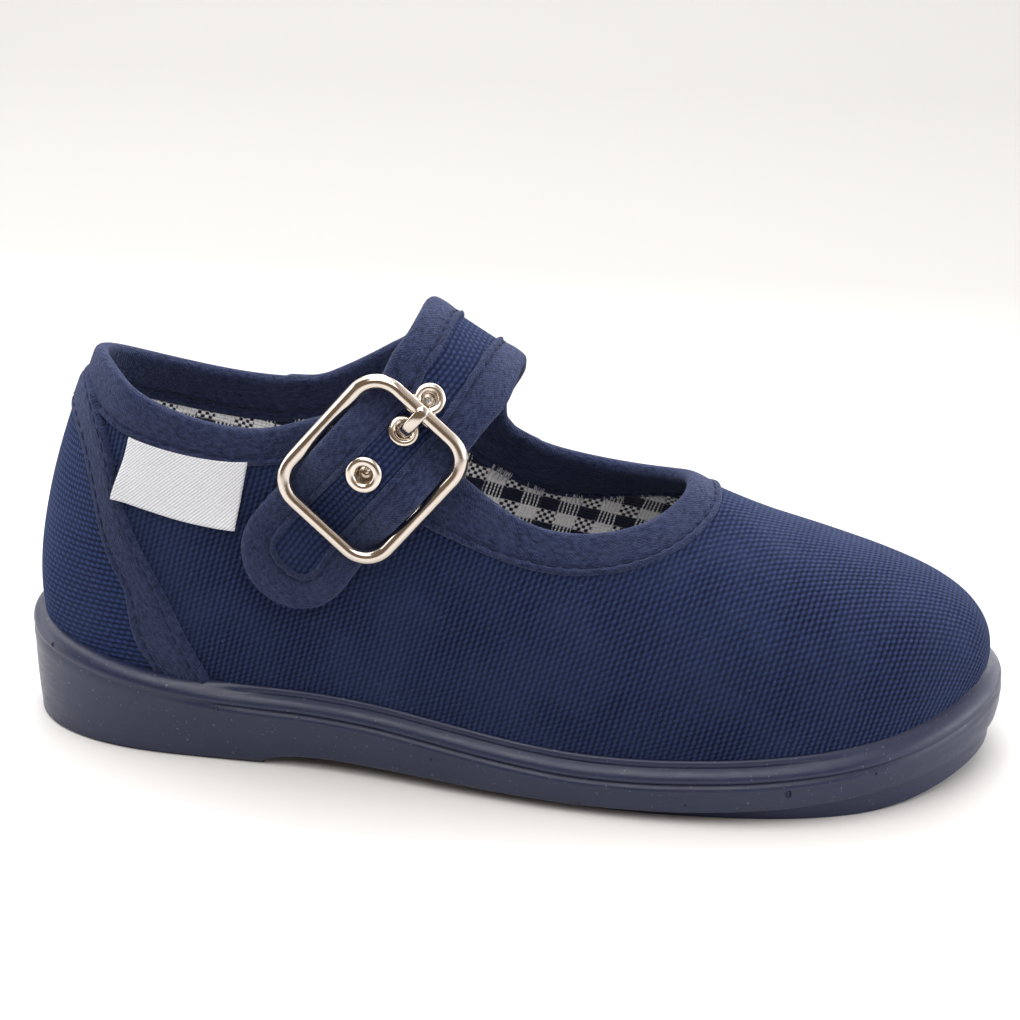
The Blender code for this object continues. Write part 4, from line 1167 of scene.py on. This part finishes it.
def bindingLines(look):
    frontShare, backShare = strapRoot
    period = 2 / (backShare - frontShare)
    t = np.linspace(0, 1, 24)[:, None]

    def corner(first, middle, last):
        first, middle, last = [np.array(p, float) for p in (first, middle, last)]
        return (1 - t) ** 2 * first + 2 * (1 - t) * t * middle + t * t * last
    (backUp, backOut), (frontUp, frontOut) = look["corners"]
    backCorner = corner((0, -backOut), (0, -1), (backUp, -1))
    frontCorner = corner((frontUp, 1), (0, 1), (0, frontOut))
    collar = np.stack([np.zeros(1200), np.linspace(frontOut, period - backOut, 1200)], 1)
    strapUp = np.stack([np.linspace(backUp, tipMark, 500), np.full(500, -1.0)], 1)
    strapDown = np.stack([np.linspace(tipMark, frontUp, 500), np.full(500, 1.0)], 1)
    wrapped = collar.copy()
    wrapped[600:, 1] -= period                 # the same place, counted from the strap's back corner
    route = np.concatenate([strapDown, frontCorner[1:-1], wrapped, backCorner[1:-1], strapUp])
    marks = alongLine(sheetPoint(route[:, 0], route[:, 1]))
    count = int(marks[-1] / look["spacing"])
    wanted = np.linspace(0, marks[-1], count)
    k = np.clip(np.searchsorted(marks, wanted) - 1, 0, len(route) - 2)
    part = ((wanted - marks[k]) / (marks[k + 1] - marks[k]))[:, None]
    leap = np.abs(route[k + 1, 1] - route[k, 1]) > 2
    after = np.where(leap[:, None], route[k + 1] + np.array((0, period)), route[k + 1])
    spot = route[k] * (1 - part) + after * part
    edge = sheetPoint(spot[:, 0], spot[:, 1])
    tangent = unit(np.gradient(edge, axis=0))
    steps = np.arange(0, look["reach"] + 0.01, look["step"])
    points = []
    normals = []
    here = spot.copy()
    heading = None
    for _ in steps:
        place, alongSlope, sideSlope, normal = sheetSlopes(here[:, 0], here[:, 1])
        points.append(place)
        normals.append(normal)
        if heading is None:
            heading = np.cross(normal, tangent)
        heading = unit(heading - normal * np.sum(heading * normal, -1)[:, None])
        aa = np.sum(alongSlope ** 2, -1)
        ab = np.sum(alongSlope * sideSlope, -1)
        bb = np.sum(sideSlope ** 2, -1)
        da = np.sum(alongSlope * heading, -1)
        db = np.sum(sideSlope * heading, -1)
        area = aa * bb - ab * ab
        move = np.stack([(da * bb - db * ab) / area, (db * aa - da * ab) / area], 1)
        here = here + move * look["step"]
    points = np.array(points).swapaxes(0, 1)
    normals = np.array(normals).swapaxes(0, 1)
    angles = np.linspace(0, math.pi, int(math.pi * strapTipRadius / look["spacing"]))[1:-1]
    tipX, tipZ = strapTipCentre
    reach = np.maximum(strapTipRadius - steps, 0.3)
    level = -np.cos(angles)                    # from the strap's back edge round to the front
    spotX = tipX + (tipAcross[0] * level + tipWay[0] * np.sin(angles))[:, None] * reach
    spotZ = tipZ + (tipAcross[1] * level + tipWay[1] * np.sin(angles))[:, None] * reach
    u, v = quarterShare(spotX, spotZ)
    points = np.concatenate([points, onLast(u, v, np.full(u.shape, tipLift))])
    normals = np.concatenate([normals, lastNormal(u, v)])
    frontier = np.concatenate([spot[:, 0], np.full(len(angles), tipMark)])
    share = np.concatenate([rootShare(spot[:, 1]), np.full(len(angles), backShare)])
    tipTurn = np.concatenate([np.zeros(len(spot)), np.sin(angles)])
    frontEdge = np.concatenate([spot[:, 1] > 0.99, angles < 0]) & (frontier > 0)
    return steps, points, normals, frontier, share, tipTurn, frontEdge


def pickAlong(lines, steps, distance):
    position = np.clip(distance / (steps[1] - steps[0]), 0, len(steps) - 1.001)
    k = np.floor(position).astype(int)
    part = (position - k)[:, None]
    rows = np.arange(len(lines))
    return lines[rows, k] * (1 - part) + lines[rows, k + 1] * part


def makeBinding(look):
    steps, points, normals, frontier, share, tipTurn, frontEdge = bindingLines(look)
    onStrap = smooth(0.0, 9.0, frontier)
    strapWidth = betweenRows(frontier, look["strapWidths"])
    endWidth = look["strapWidths"][-1][1]
    strapWidth = np.maximum(strapWidth, endWidth + (look["tipWidth"] - endWidth) * tipTurn ** 2)
    strapWidth = strapWidth + np.where(frontEdge, betweenRows(frontier, look["flare"]), 0.0)

    def either(collar, strap):                 # the collar's measure, eased into the strap's
        return collar * (1 - onStrap) + strap * onStrap
    outside = either(outsideWidth(share), strapWidth)
    inside = either(insideWidth(share), strapWidth - 0.4)
    half = either(look["collarHalf"], strapHalf)
    crestward = smooth(4.0, 14.0, frontier) * (1 - smooth(34.0, 40.0, frontier))
    tape = look["tape"] + (look["strapTape"] - look["tape"]) * crestward
    under = either(*look["under"])
    marks = alongLine(closed(points[:, 0]))
    waver = 0.22 * ripple(marks[:-1] * 0.09, 0, 11)
    roll = look["roll"] + edgeDrop(share) * (1 - onStrap)
    outside = outside + waver - roll * (1 - onStrap)
    inside = inside + 0.3 * ripple(marks[:-1] * 0.07, 0, 12) - roll * (1 - onStrap)
    puckered = 0.5 + 0.5 * np.cos(marks[:-1] * 2 * math.pi / stitchLook["pitch"])
    columns = []
    places = []

    def tapePoint(distance, lift):
        normal = unit(pickAlong(normals, steps, distance + roll))
        return pickAlong(points, steps, distance + roll) + normal * lift[:, None]

    def addPoint(distance, height, sign, place):
        columns.append(tapePoint(distance, sign * (half + height)))
        places.append(place)
    up = [0.0, 0.12, 0.3, 0.6, 0.9, 1.1, look["stitchUp"], 1.4, 1.65, 2.0]
    for k, rise in enumerate(up):
        body = min(1.0, 0.35 + rise / 0.45) + 0.7 * math.exp(-((rise - 0.55) / 0.3) ** 2) if k else 0.0
        dimple = (0.15 + 0.13 * puckered) * math.exp(-((rise - look["stitchUp"]) / 0.28) ** 2)
        addPoint(outside - rise, tape * body - dimple, 1.0, outside - rise)
    crest = 0.10 + 0.06 * ripple(marks[:-1] * 0.35, 0, 13)
    for part in np.linspace(0.14, 0.97, 8):
        distance = (outside - 2.0) * (1 - part)
        addPoint(distance, tape + crest * math.sin(math.pi * part), 1.0, distance)
    outerEdge = pickAlong(points, steps, roll)
    edgeNormal = unit(pickAlong(normals, steps, roll))         # the fold runs over the edge itself
    outward = unit(points[:, 0] - points[:, 3])
    for angle in np.radians((22, 45, 68, 90, 112, 135, 158)):
        thick = half + tape * (1 + math.cos(angle)) / 2 + under * (1 - math.cos(angle)) / 2
        columns.append(outerEdge + edgeNormal * (thick * math.cos(angle))[:, None]
                       + outward * (thick * math.sin(angle) * 0.95)[:, None])
        places.append(np.zeros(len(share)) - angle)
    for part in np.linspace(0.04, 0.86, 9):
        addPoint((inside - 2.0) * part / 0.86, under + 0.08 * math.sin(math.pi * part), -1.0,
                 -math.pi - (inside - 2.0) * part / 0.86)
    for rise in reversed(up):
        body = min(1.0, 0.35 + rise / 0.45) if rise else 0.0
        dimple = 0.14 * math.exp(-((rise - look["stitchUp"]) / 0.28) ** 2)
        addPoint(inside - rise, under * body - dimple, -1.0, -math.pi - (inside - rise))
    sunk = np.full(len(share), -0.25)          # the tape's unseen face lies inside the cloth
    for distance, sign, place in ((inside - 0.6, -1.0, -math.pi - inside), (0.5 + 0 * share, -1.0, -4.0),
                                  (0.5 + 0 * share, 1.0, 1.0), (outside - 0.6, 1.0, outside)):
        addPoint(distance, sunk, sign, place)
    grid = np.array(columns).swapaxes(0, 1)
    across = np.array([np.broadcast_to(place, share.shape) for place in places]).T
    across = closed(np.concatenate([across, across[:, :1]], 1))
    cloth = np.stack([across, np.broadcast_to(marks[:, None], across.shape)], -1)
    binding = meshPiece("binding_tape", *gridParts(grid, cloth, True, True), cottonTape)
    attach(binding, "root")
    outerLine = tapePoint(outside - look["stitchUp"], half + tape - 0.10)
    innerLine = tapePoint(inside - look["stitchUp"], 0.08 - half - under)
    sewStitches("binding_stitches", [closed(outerLine), closed(innerLine)], 3)
    collar = (frontier <= 0) & (tipTurn == 0)
    return [pickAlong(points, steps, inside + roll + shift)[collar] for shift in (0.9, -0.2, -0.9, -1.7)] + [
        unit(pickAlong(normals, steps, inside + roll))[collar], (half + under)[collar]]


bandEdge = makeBinding(bindingLook)
print("binding folded over the edge")

# Raw threads of the lining, combed up over the edge of the binding inside the collar.
looseLook = {"tries": 1500, "thread": 0.055, "side": 0.35, "back": -6.0}


def makeLooseThreads(look):
    below, edge, above, top, normals, depth = bandEdge
    parts = []
    spots = liningFace.reshape(-1, 3)
    places = liningAcross.reshape(-1)
    for k in range(look["tries"]):
        i = int((k * 0.6180339) % 1.0 * (len(edge) - 2))
        near = places[np.argmin(np.sum((spots - edge[i]) ** 2, -1))]
        onDark = math.cos(near * 2 * math.pi / checkLook["checkAcross"]) < -0.1
        if onDark or edge[i][1] < 0 or edge[i][0] < look["back"]:
            continue
        reach = 0.20 + 0.18 * math.sin(k * 7.31) + 0.35 * smooth(4.0, -3.0, edge[i][0])
        lean = look["side"] * math.sin(k * 2.77) * unit(edge[i + 1] - edge[i])
        way = [below[i], edge[i] * 0.6 + below[i] * 0.4, edge[i], edge[i] * (1 - reach) + above[i] * reach,
               above[i] * (1 - reach) + top[i] * reach]
        lift = [0.12, 0.10, 0.16, 0.20, 0.14 + 0.10 * math.sin(k * 4.4)]
        path = [point - normals[i] * (depth[i] + up) + lean * step / 4
                for step, (point, up) in enumerate(zip(way, lift))]
        parts.append(tubeParts(path, [0.06, look["thread"], look["thread"], 0.06, 0.035], 6))
    threads = meshPiece("loose_lining_threads", *joinParts(parts), looseThread)
    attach(threads, "root")


makeLooseThreads(looseLook)
print("loose threads combed up")

# The strap's own canvas, between the two runs of tape.
strapSheetLook = {
    "rows": 190, "columns": 33, "margin": 0.95, "start": -6.0, "sewn": 0.35, "rootOut": 0.9, "rootIn": 0.55,
}


def makeStrap(look):
    along = np.linspace(look["start"], strapMarks[-1] - 0.2, look["rows"])
    side = np.linspace(-1, 1, look["columns"])
    sideReach = np.interp(along, [look["start"], -1.0, 6.0], [0.80, 0.88, look["margin"]])
    alongGrid = np.broadcast_to(along[:, None], (len(along), len(side)))
    sideGrid = side[None, :] * sideReach[:, None]
    middle, _, _, normal = sheetSlopes(alongGrid, sideGrid)
    rising = smooth(-1.0, 5.0, along)[:, None]
    lap = smooth(look["start"], look["start"] + 0.5, along)[:, None]
    crown = 0.10 * (1 - (side[None, :]) ** 2) + 0.05 * ripple(alongGrid * 0.25, sideGrid * 3, 21)
    outerHeight = (look["rootOut"] + look["sewn"] * lap) * (1 - rising) + strapHalf * rising + crown
    innerHeight = look["rootIn"] * (1 - rising) + strapHalf * rising
    outer = middle + normal * outerHeight[..., None]
    inner = middle - normal * innerHeight[..., None]
    width = np.linalg.norm(middle[:, -1] - middle[:, 0], axis=-1)
    cloth = np.stack([side[None, :] * width[:, None] / 2, alongGrid], -1)
    strap = meshPiece("strap_canvas", *sheetParts(outer, inner, cloth), strapCanvas)
    cutAway(strap, [holePart(along, aside) for along, aside, _ in eyeletSpots])
    smoothWithin(strap, 50)
    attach(strap, "root")
    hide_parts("strap")


eyeletSpots = ((-13.35, -0.6, 0.1), (-7.3, -0.55, 0.3), (0.4, -0.5, 0.1))   # along, across, how proud
holeRadius = 1.9
prongSide = -0.45


def strapFrame(along, aside):
    if along > -buckleReach:
        here = atBuckle(along, aside, liftAt(along))
        way = atBuckle(along - 0.4, aside, liftAt(along - 0.4)) - here
    else:
        leaving = atBuckle(-buckleReach, 0.0, liftAt(-buckleReach))
        way = np.array(strapTable[-1][:3]) - leaving
        here = leaving + way * (-buckleReach - along) / np.linalg.norm(way) + cross * aside
    out = np.cross(unit(way), cross)
    out = out * (1 if out @ buckleFacing > 0 else -1)
    first = unit(cross - out * (cross @ out))
    return here, out, first, np.cross(out, first)


def holePart(along, aside):
    here, out, first, second = strapFrame(along, aside)
    points = []
    for height in (-2.5, 2.5):
        for turn in turnsOf(24):
            ray = first * math.cos(turn) + second * math.sin(turn)
            points.append(here + ray * holeRadius + out * height)
    return points, prismFaces(24)


makeStrap(strapSheetLook)
print("strap laid over the instep")

# Rolled eyelets: (radius, height) walked round the section.
eyeletLook = {
    "sides": 48, "sizes": (0.91, 0.87, 1.0),
    "section": [(1.28, 0.70), (1.30, 0.98), (1.42, 1.22), (1.62, 1.40), (1.90, 1.50), (2.20, 1.50),
                (2.50, 1.40), (2.72, 1.22), (2.82, 0.98), (2.80, 0.78), (2.62, 0.72), (2.20, 0.72),
                (1.86, 0.70), (1.82, 0.20), (1.82, -1.30), (1.50, -1.75), (0.50, -1.80), (0.50, -1.62),
                (1.00, -1.50), (1.22, -0.90), (1.24, 0.20)],
}


def makeEyelets(look):
    turn = turnsOf(look["sides"])
    for number, (along, aside, proud) in enumerate(eyeletSpots, 1):
        here, out, first, second = strapFrame(along, aside)
        scale = look["sizes"][number - 1]
        ray = np.cos(turn)[:, None] * first + np.sin(turn)[:, None] * second
        section = np.array(look["section"]) * scale
        points = (here + ray[:, None] * section[None, :, :1] + out * (section[:, 1:] + proud)[None])
        eyelet = meshPiece("eyelet_ring_%d" % number, *plainGrid(points, True), eyeletChrome, 60)
        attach(eyelet, "root")
        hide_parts("eyelet_%d" % number)


makeEyelets(eyeletLook)

# The buckle: a bent wire frame with its centre bar, and a prong hung on the bar.
buckleLook = {
    "wire": 1.17, "bar": 0.8, "drop": 1.0, "length": 25.95, "width": 22.0, "corner": 5.6, "sides": 24,
}


def makeBuckle(look):
    halfLength = look["length"] / 2 - look["wire"]
    halfWidth = look["width"] / 2 - look["wire"]
    bend = look["corner"] - look["wire"]
    path = []
    corners = ((1, 1), (-1, 1), (-1, -1), (1, -1))
    for k, (sx, sy) in enumerate(corners):
        for angle in np.linspace(0, math.pi / 2, 15) + k * math.pi / 2:
            path.append((sx * (halfLength - bend) + bend * math.cos(angle),
                         sy * (halfWidth - bend) + bend * math.sin(angle)))
    path = np.array(path + path[:1])
    marks = alongLine(path)
    wanted = np.linspace(0, marks[-1], 181)[:-1]
    path = atMarks(path, marks, wanted)
    wire = np.array([atBuckle(a, b, 0.0) for a, b in path])
    parts = [tubeParts(wire, look["wire"], look["sides"], True)]
    bar = [atBuckle(0.0, side, out) for side, out in (
        (-halfWidth, 0.0), (-halfWidth + 1.2, -0.25 * look["drop"]), (-halfWidth + 2.2, -look["drop"]),
        (halfWidth - 2.2, -look["drop"]), (halfWidth - 1.2, -0.25 * look["drop"]), (halfWidth, 0.0))]
    parts.append(tubeParts(bar, look["bar"], 16))
    buckle = meshPiece("buckle_wire", *joinParts(parts), frameChrome)
    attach(buckle, "root")
    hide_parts("buckle_frame")


prongLook = {
    "sides": 24, "loop": 0.7,
    # from the bar to the tip: (along the strap, out of it, half its width)
    "route": [(-3.0, -2.5, 0.6), (-5.3, -2.45, 0.8), (-6.3, -1.9, 0.92), (-7.0, -0.7, 0.95),
              (-7.8, 0.6, 0.95), (-8.8, 1.6, 0.95), (-9.9, 2.15, 0.95), (-11.0, 2.4, 0.95),
              (-12.0, 2.35, 0.95), (-12.7, 2.1, 0.90), (-13.0, 1.9, 0.70)],
}


def makeProng(look):
    loop = buckleLook["bar"] + look["loop"]
    drop = buckleLook["drop"]
    route = []
    for angle in np.radians(np.linspace(180, -90, 13)):
        route.append((loop * math.cos(angle), -drop + loop * math.sin(angle), 0.5))
    route = np.array(route + look["route"])
    marks = alongLine(route)
    curve = splineThrough(marks, route)
    fine = curve(np.linspace(0, marks[-1], 110))
    path = np.array([atBuckle(a, prongSide, b) for a, b, _ in fine])
    tangent = unit(np.gradient(path, axis=0))
    upward = unit(np.cross(tangent, np.broadcast_to(cross, tangent.shape)))
    turn = turnsOf(look["sides"])
    level = np.sign(np.cos(turn)) * np.abs(np.cos(turn)) ** 0.55       # a flattened bar with rounded edges
    rise = np.sign(np.sin(turn)) * np.abs(np.sin(turn)) ** 0.75
    points = (path[:, None] + cross * (level[None, :] * fine[:, 2:])[..., None]
              + upward[:, None] * (rise[None, :] * (0.42 + 0.12 * fine[:, 2:]))[..., None])
    prong = meshPiece("buckle_pin", *plainGrid(points, False, True), prongChrome, 60)
    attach(prong, "root")
    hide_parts("buckle_prong")


makeBuckle(buckleLook)
makeProng(prongLook)
print("buckle, pin and eyelets set")

# The tab: two legs of tape round the centre bar, sewn down in one plate below it.
# legs: from side to side; plate: from its lower edge to where the legs leave it; lifts of both
tabLook = {
    "thickness": 0.7, "legs": ((-5.0, -1.5), (1.5, 5.8)), "plate": (6.6, 1.8), "lifts": (0.55, 0.3),
}


def makeTab(look):
    thick = look["thickness"]
    wrap = buckleLook["bar"] + 0.25 + thick / 2
    legLift, plateLift = look["lifts"]
    route = [("quarter", along, (legLift if along < 2 else plateLift) + thick / 2)
             for along in np.linspace(*look["plate"], 13)]
    route += [("bar", wrap * math.cos(a), -buckleLook["drop"] + wrap * math.sin(a))
              for a in np.radians(np.linspace(-90, -285, 16))]

    def sheet(low, high, rows):
        sides = np.linspace(low, high, 7) + prongSide
        grid = np.zeros((len(rows), len(sides), 3))
        for i, (kind, along, out) in enumerate(rows):
            spots = np.array([atBuckle(along, side, out if kind == "bar" else -3.0) for side in sides])
            if kind == "quarter":
                spots = quarterPoint(spots[:, 0], spots[:, 2], np.full(len(sides), out))
            grid[i] = spots
        normal = unit(np.cross(np.gradient(grid, axis=0), np.gradient(grid, axis=1)))
        cloth = np.stack(np.broadcast_arrays(sides[None, :], np.arange(len(rows))[:, None] * 0.4), -1)
        bulge = (1 - ((np.arange(7) - 3) / 3.6) ** 2)[None, :, None] * thick / 2
        return sheetParts(grid + normal * bulge, grid - normal * bulge, cloth)
    parts = [sheet(low, high, route) for low, high in look["legs"]]
    parts.append(sheet(look["legs"][0][1] - 0.1, look["legs"][1][0] + 0.1, route[:9]))
    tab = meshPiece("buckle_tab_tape", *joinParts(parts), cottonTape)
    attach(tab, "root")
    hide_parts("buckle_tab")


makeTab(tabLook)
print("tab wrapped")

# The heel patch and the tape round its edge. Front edge: (height up the last, share round the foot)
heelPatchLook = {
    "front": [(0.005, 0.119), (0.15, 0.109), (0.28, 0.101), (0.39, 0.092), (0.47, 0.085), (0.56, 0.079),
              (0.69, 0.070), (0.77, 0.059), (0.825, 0.046), (0.865, 0.031), (0.885, 0.014), (0.888, 0.0)],
    "tapeBack": [(0.005, 0.0935), (0.103, 0.085), (0.232, 0.082), (0.298, 0.077), (0.391, 0.069),
                 (0.502, 0.062), (0.607, 0.051), (0.673, 0.036), (0.705, 0.018), (0.712, 0.0)],
    "rows": 70, "columns": 121, "low": -0.06, "high": 0.86, "margin": 0.94, "tapeRows": 300, "tapeWidth": 6.5,
    "canvas": 0.80, "tape": 1.25, "bulge": 1.05, "seams": (0.17, 0.83), "tuck": 2.0,
}


def patchEdge(table, count):                 # from the outer side at the sole over the heel to the inner side
    rows = np.array(table)
    rows = np.concatenate([rows, (rows * np.array((1, -1)))[-2::-1]])
    curve = splineThrough(np.arange(len(rows)), rows)
    fine = curve(np.linspace(0, len(rows) - 1, 600))
    marks = alongLine(lastPoint(fine[:, 1], fine[:, 0]))
    return atMarks(fine, marks, np.linspace(0, marks[-1], count)), marks[-1]


def heelBulge(look, u, v):
    return look["bulge"] * np.exp(-(v / 0.27) ** 2) * np.exp(-(u / 0.09) ** 2)


def makeHeelPatch(look):
    heights = np.linspace(look["low"], look["high"], look["rows"])
    front = betweenRows(heights, look["front"])
    across = np.linspace(-1, 1, look["columns"])
    u = across[:, None] * (front * look["margin"])[None, :]
    v = np.broadcast_to(heights, u.shape)
    low = np.minimum(v, 0)
    base = lastPoint(u, np.maximum(v, 0)) + np.array((0, 0, 1.0)) * (low * 45)[..., None]
    normal = lastNormal(u, np.maximum(v, 0))
    height = look["canvas"] + heelBulge(look, u, v) + 0.05 * ripple(u * 120, v * 8, 31)
    outer = base + normal * height[..., None]
    inner = base + normal * 0.1
    level = alongLine(outer[:, 30])
    cloth = np.stack([outer[..., 2], np.broadcast_to(level[:, None], u.shape)], -1)
    patch = meshPiece("heel_patch", *sheetParts(outer, inner, cloth), patchCanvas)
    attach(patch, "root")
    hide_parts("heel_counter")


def makeHeelTape(look):
    count = look["tapeRows"]
    frontLine, length = patchEdge(look["front"], count)
    backLine, _ = patchEdge(look["tapeBack"], count)
    marks = np.linspace(0, length, count)
    parts = np.array([0.0, 0.03, 0.08, 0.14, 0.20, 0.27, 0.36, 0.5, 0.64, 0.73, 0.80, 0.86, 0.92, 0.97, 1.0])
    spot = frontLine[:, None] * (1 - parts)[None, :, None] + backLine[:, None] * parts[None, :, None]
    body = np.interp(parts, [0, 0.03, 0.08, 0.92, 0.97, 1.0], [0.15, 0.8, 1.0, 1.0, 0.93, 0.72])
    dimple = sum(np.exp(-((parts - seam) / 0.05) ** 2) for seam in look["seams"])
    v = spot[..., 0]
    lift = heelBulge(look, spot[..., 1], v) - 0.6 * smooth(0.82, 0.89, v)
    height = look["tape"] * body[None, :] - 0.2 * dimple[None, :] + lift
    height = height + 0.05 * ripple(marks[:, None] * 0.3, parts * 4, 32)
    base = lastPoint(spot[..., 1], np.maximum(v, 0))
    normal = lastNormal(spot[..., 1], np.maximum(v, 0))
    outer = base + normal * height[..., None]
    inner = base + normal * 0.05
    for face in (outer, inner):                # both ends run down behind the sole's lip
        face[[0, -1], :, 2] -= look["tuck"]
    cloth = np.stack(np.broadcast_arrays(parts[None, :] * look["tapeWidth"], marks[:, None]), -1)
    tape = meshPiece("heel_patch_tape", *sheetParts(outer, inner, cloth), cottonTape)
    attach(tape, "root")
    lines = []
    for part in look["seams"]:
        line = frontLine * (1 - part) + backLine * part
        column = np.argmin(np.abs(parts - part))
        lines.append(onLast(line[:, 1], line[:, 0], height[:, column] + 0.06)[2:-2])
    sewStitches("heel_patch_stitches", lines, 5)


makeHeelPatch(heelPatchLook)
makeHeelTape(heelPatchLook)
print("heel patch sewn")

# The side label: bare woven twill, its top tucked under the collar binding.
# corners (share, height): back top, front top, front bottom, back bottom
labelLook = {
    "corners": ((0.084, 0.800), (0.145, 0.845), (0.137, 0.583), (0.076, 0.553)),
    "thickness": 0.30, "length": 18.5, "height": 10.5,
}


def makeLabel(look):
    corners = np.array(look["corners"])
    s, t = np.meshgrid(np.linspace(0, 1, 61), np.linspace(0, 1, 37), indexing="ij")
    ahead, down = s[..., None], t[..., None]
    spot = ((1 - down) * ((1 - ahead) * corners[0] + ahead * corners[1])
            + down * ((1 - ahead) * corners[3] + ahead * corners[2]))
    lift = 0.45 + 1.45 * np.exp(-s / 0.10) * smooth(0.2, 1.0, t) + 0.5 * smooth(0.55, 1.0, t) * s ** 2
    lift = lift + 0.10 * ripple(s * 6, t * 4, 41)
    edge = np.minimum(np.minimum(s, 1 - s) * 18, (1 - t) * look["height"])
    thick = look["thickness"] * np.clip(edge / 0.25, 0.25, 1)
    outer = onLast(spot[..., 0], spot[..., 1], lift + thick)
    inner = onLast(spot[..., 0], spot[..., 1], lift - thick * 0.2)
    cloth = np.stack([s * look["length"], t * look["height"]], -1)
    label = meshPiece("side_label", *sheetParts(outer, inner, cloth), labelCloth)
    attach(label, "root")


makeLabel(labelLook)
print("label laid")

# Floor, lights and camera
studioLook = {
    # the far floor's darker tone is painted shade, a falloff behind the shoe
    "floor": 0.625, "farFloorShade": (0.50, 0.497, 0.488), "floorReach": 4.0,
    "skyBack": 0.65, "skyRight": 2.3, "skyColor": (0.98, 0.99, 1.0),
    "room": 0.24, "roomColor": (1.0, 0.74, 0.52),
    # soft boxes: name, place in metres, width and height, power; all turned to the same point
    "aim": (0, 0, 0.03),
    "lights": [
        ("key_overhead", (-0.12, 0.15, 0.75), (0.8, 0.8), 7.8),
        ("back_wash", (0.0, 0.7, 0.45), (0.9, 0.4), 4.7),
        ("front_high", (0.0, -0.45, 0.75), (0.7, 0.5), 3.25),
        ("left_back", (-0.6, 0.3, 0.5), (0.6, 0.6), 1.8),
        ("left_side", (-0.8, 0.0, 0.25), (0.5, 0.5), 2.2),
        ("right_side", (0.8, 0.0, 0.25), (0.5, 0.5), 1.95),
    ],
}


def makeFloor(look):
    half = look["floorReach"]
    mesh = bpy.data.meshes.new("floor")
    corners = [(-half, -half, 0), (half, -half, 0), (half, half, 0), (-half, half, 0)]
    mesh.from_pydata(corners, [], [(0, 1, 2, 3)])
    floor = bpy.data.objects.new("floor", mesh)
    bpy.context.collection.objects.link(floor)
    material, tree, shader = startMaterial("pale_floor", {"Roughness": 0.75, "Specular IOR Level": 0.2})
    parts = addNode(tree, "ShaderNodeSeparateXYZ", {0: objectPlace(tree)})
    # Painted light on the floor: 15% brighter in front of the shoe, lifting the shade there, and darker
    # towards the back as a painted falloff.
    near = spread(tree, parts.outputs[1], -0.10, 0.02, look["floor"] * 1.15, look["floor"])
    far = plus(tree, spread(tree, parts.outputs[1], 0.02, 0.22, 0.0, 0.83),
                  spread(tree, parts.outputs[1], 0.20, 0.38, 0.0, 0.17))
    tone = blendColors(tree, far, near, tuple(look["floor"] * share for share in look["farFloorShade"]))
    setColor(tree, shader, tone)
    mesh.materials.append(material)


def makeSky(look):
    world = bpy.data.worlds.new("studio")
    bpy.context.scene.world = world
    world.use_nodes = True
    tree = world.node_tree                     # bright low down behind the shoe and to the toe side of it
    background = tree.nodes["Background"]
    around = addNode(tree, "ShaderNodeTexCoord").outputs["Generated"]
    way = addNode(tree, "ShaderNodeSeparateXYZ", {0: around})
    right = times(tree, spread(tree, way.outputs[0], -0.1, 0.7, 0.0, look["skyRight"]),
                    spread(tree, way.outputs[1], -0.80, -0.20))
    back = spread(tree, way.outputs[1], -0.1, 0.6, 0.0, look["skyBack"])
    low = spread(tree, way.outputs[2], 0.9, 0.3)
    glow = times(tree, plus(tree, right, back), low)
    tree.links.new(glow, background.inputs["Strength"])
    background.inputs["Color"].default_value = (*look["skyColor"], 1.0)
    room = addNode(tree, "ShaderNodeBackground",
                   {"Color": (*look["roomColor"], 1.0), "Strength": look["room"]})
    both = addNode(tree, "ShaderNodeAddShader", {0: background.outputs[0], 1: room.outputs[0]})
    tree.links.new(both.outputs[0], tree.nodes["World Output"].inputs["Surface"])


def addLights(look):
    for name, place, size, power in look["lights"]:
        data = bpy.data.lights.new(name, "AREA")
        data.shape = "RECTANGLE"
        data.size, data.size_y = size
        data.energy = power
        light = bpy.data.objects.new(name, data)
        light.location = place
        way = Vector(look["aim"]) - Vector(place)
        light.rotation_euler = way.to_track_quat("-Z", "Y").to_euler()
        bpy.context.collection.objects.link(light)


# angles in degrees, lengths in metres but for the lens
cameraLook = {
    "azimuth": 8, "elevation": 24, "distance": 0.45, "target": (-0.00001, 0.0, 0.03689), "lens": 101.1,
}


def makeCamera(look):
    azimuth, elevation = math.radians(look["azimuth"]), math.radians(look["elevation"])
    back = Vector((math.sin(azimuth) * math.cos(elevation), -math.cos(azimuth) * math.cos(elevation),
                   math.sin(elevation)))
    data = bpy.data.cameras.new("camera")
    data.lens = look["lens"]
    data.sensor_width = 36
    data.clip_end = 20
    camera = bpy.data.objects.new("camera", data)
    camera.location = Vector(look["target"]) + back * look["distance"]
    camera.rotation_euler = (-back).to_track_quat("-Z", "Y").to_euler()
    bpy.context.collection.objects.link(camera)
    bpy.context.scene.camera = camera


makeFloor(studioLook)
makeSky(studioLook)
addLights(studioLook)
makeCamera(cameraLook)
bpy.context.scene.view_settings.view_transform = "Standard"
print("stage, lights and camera set")
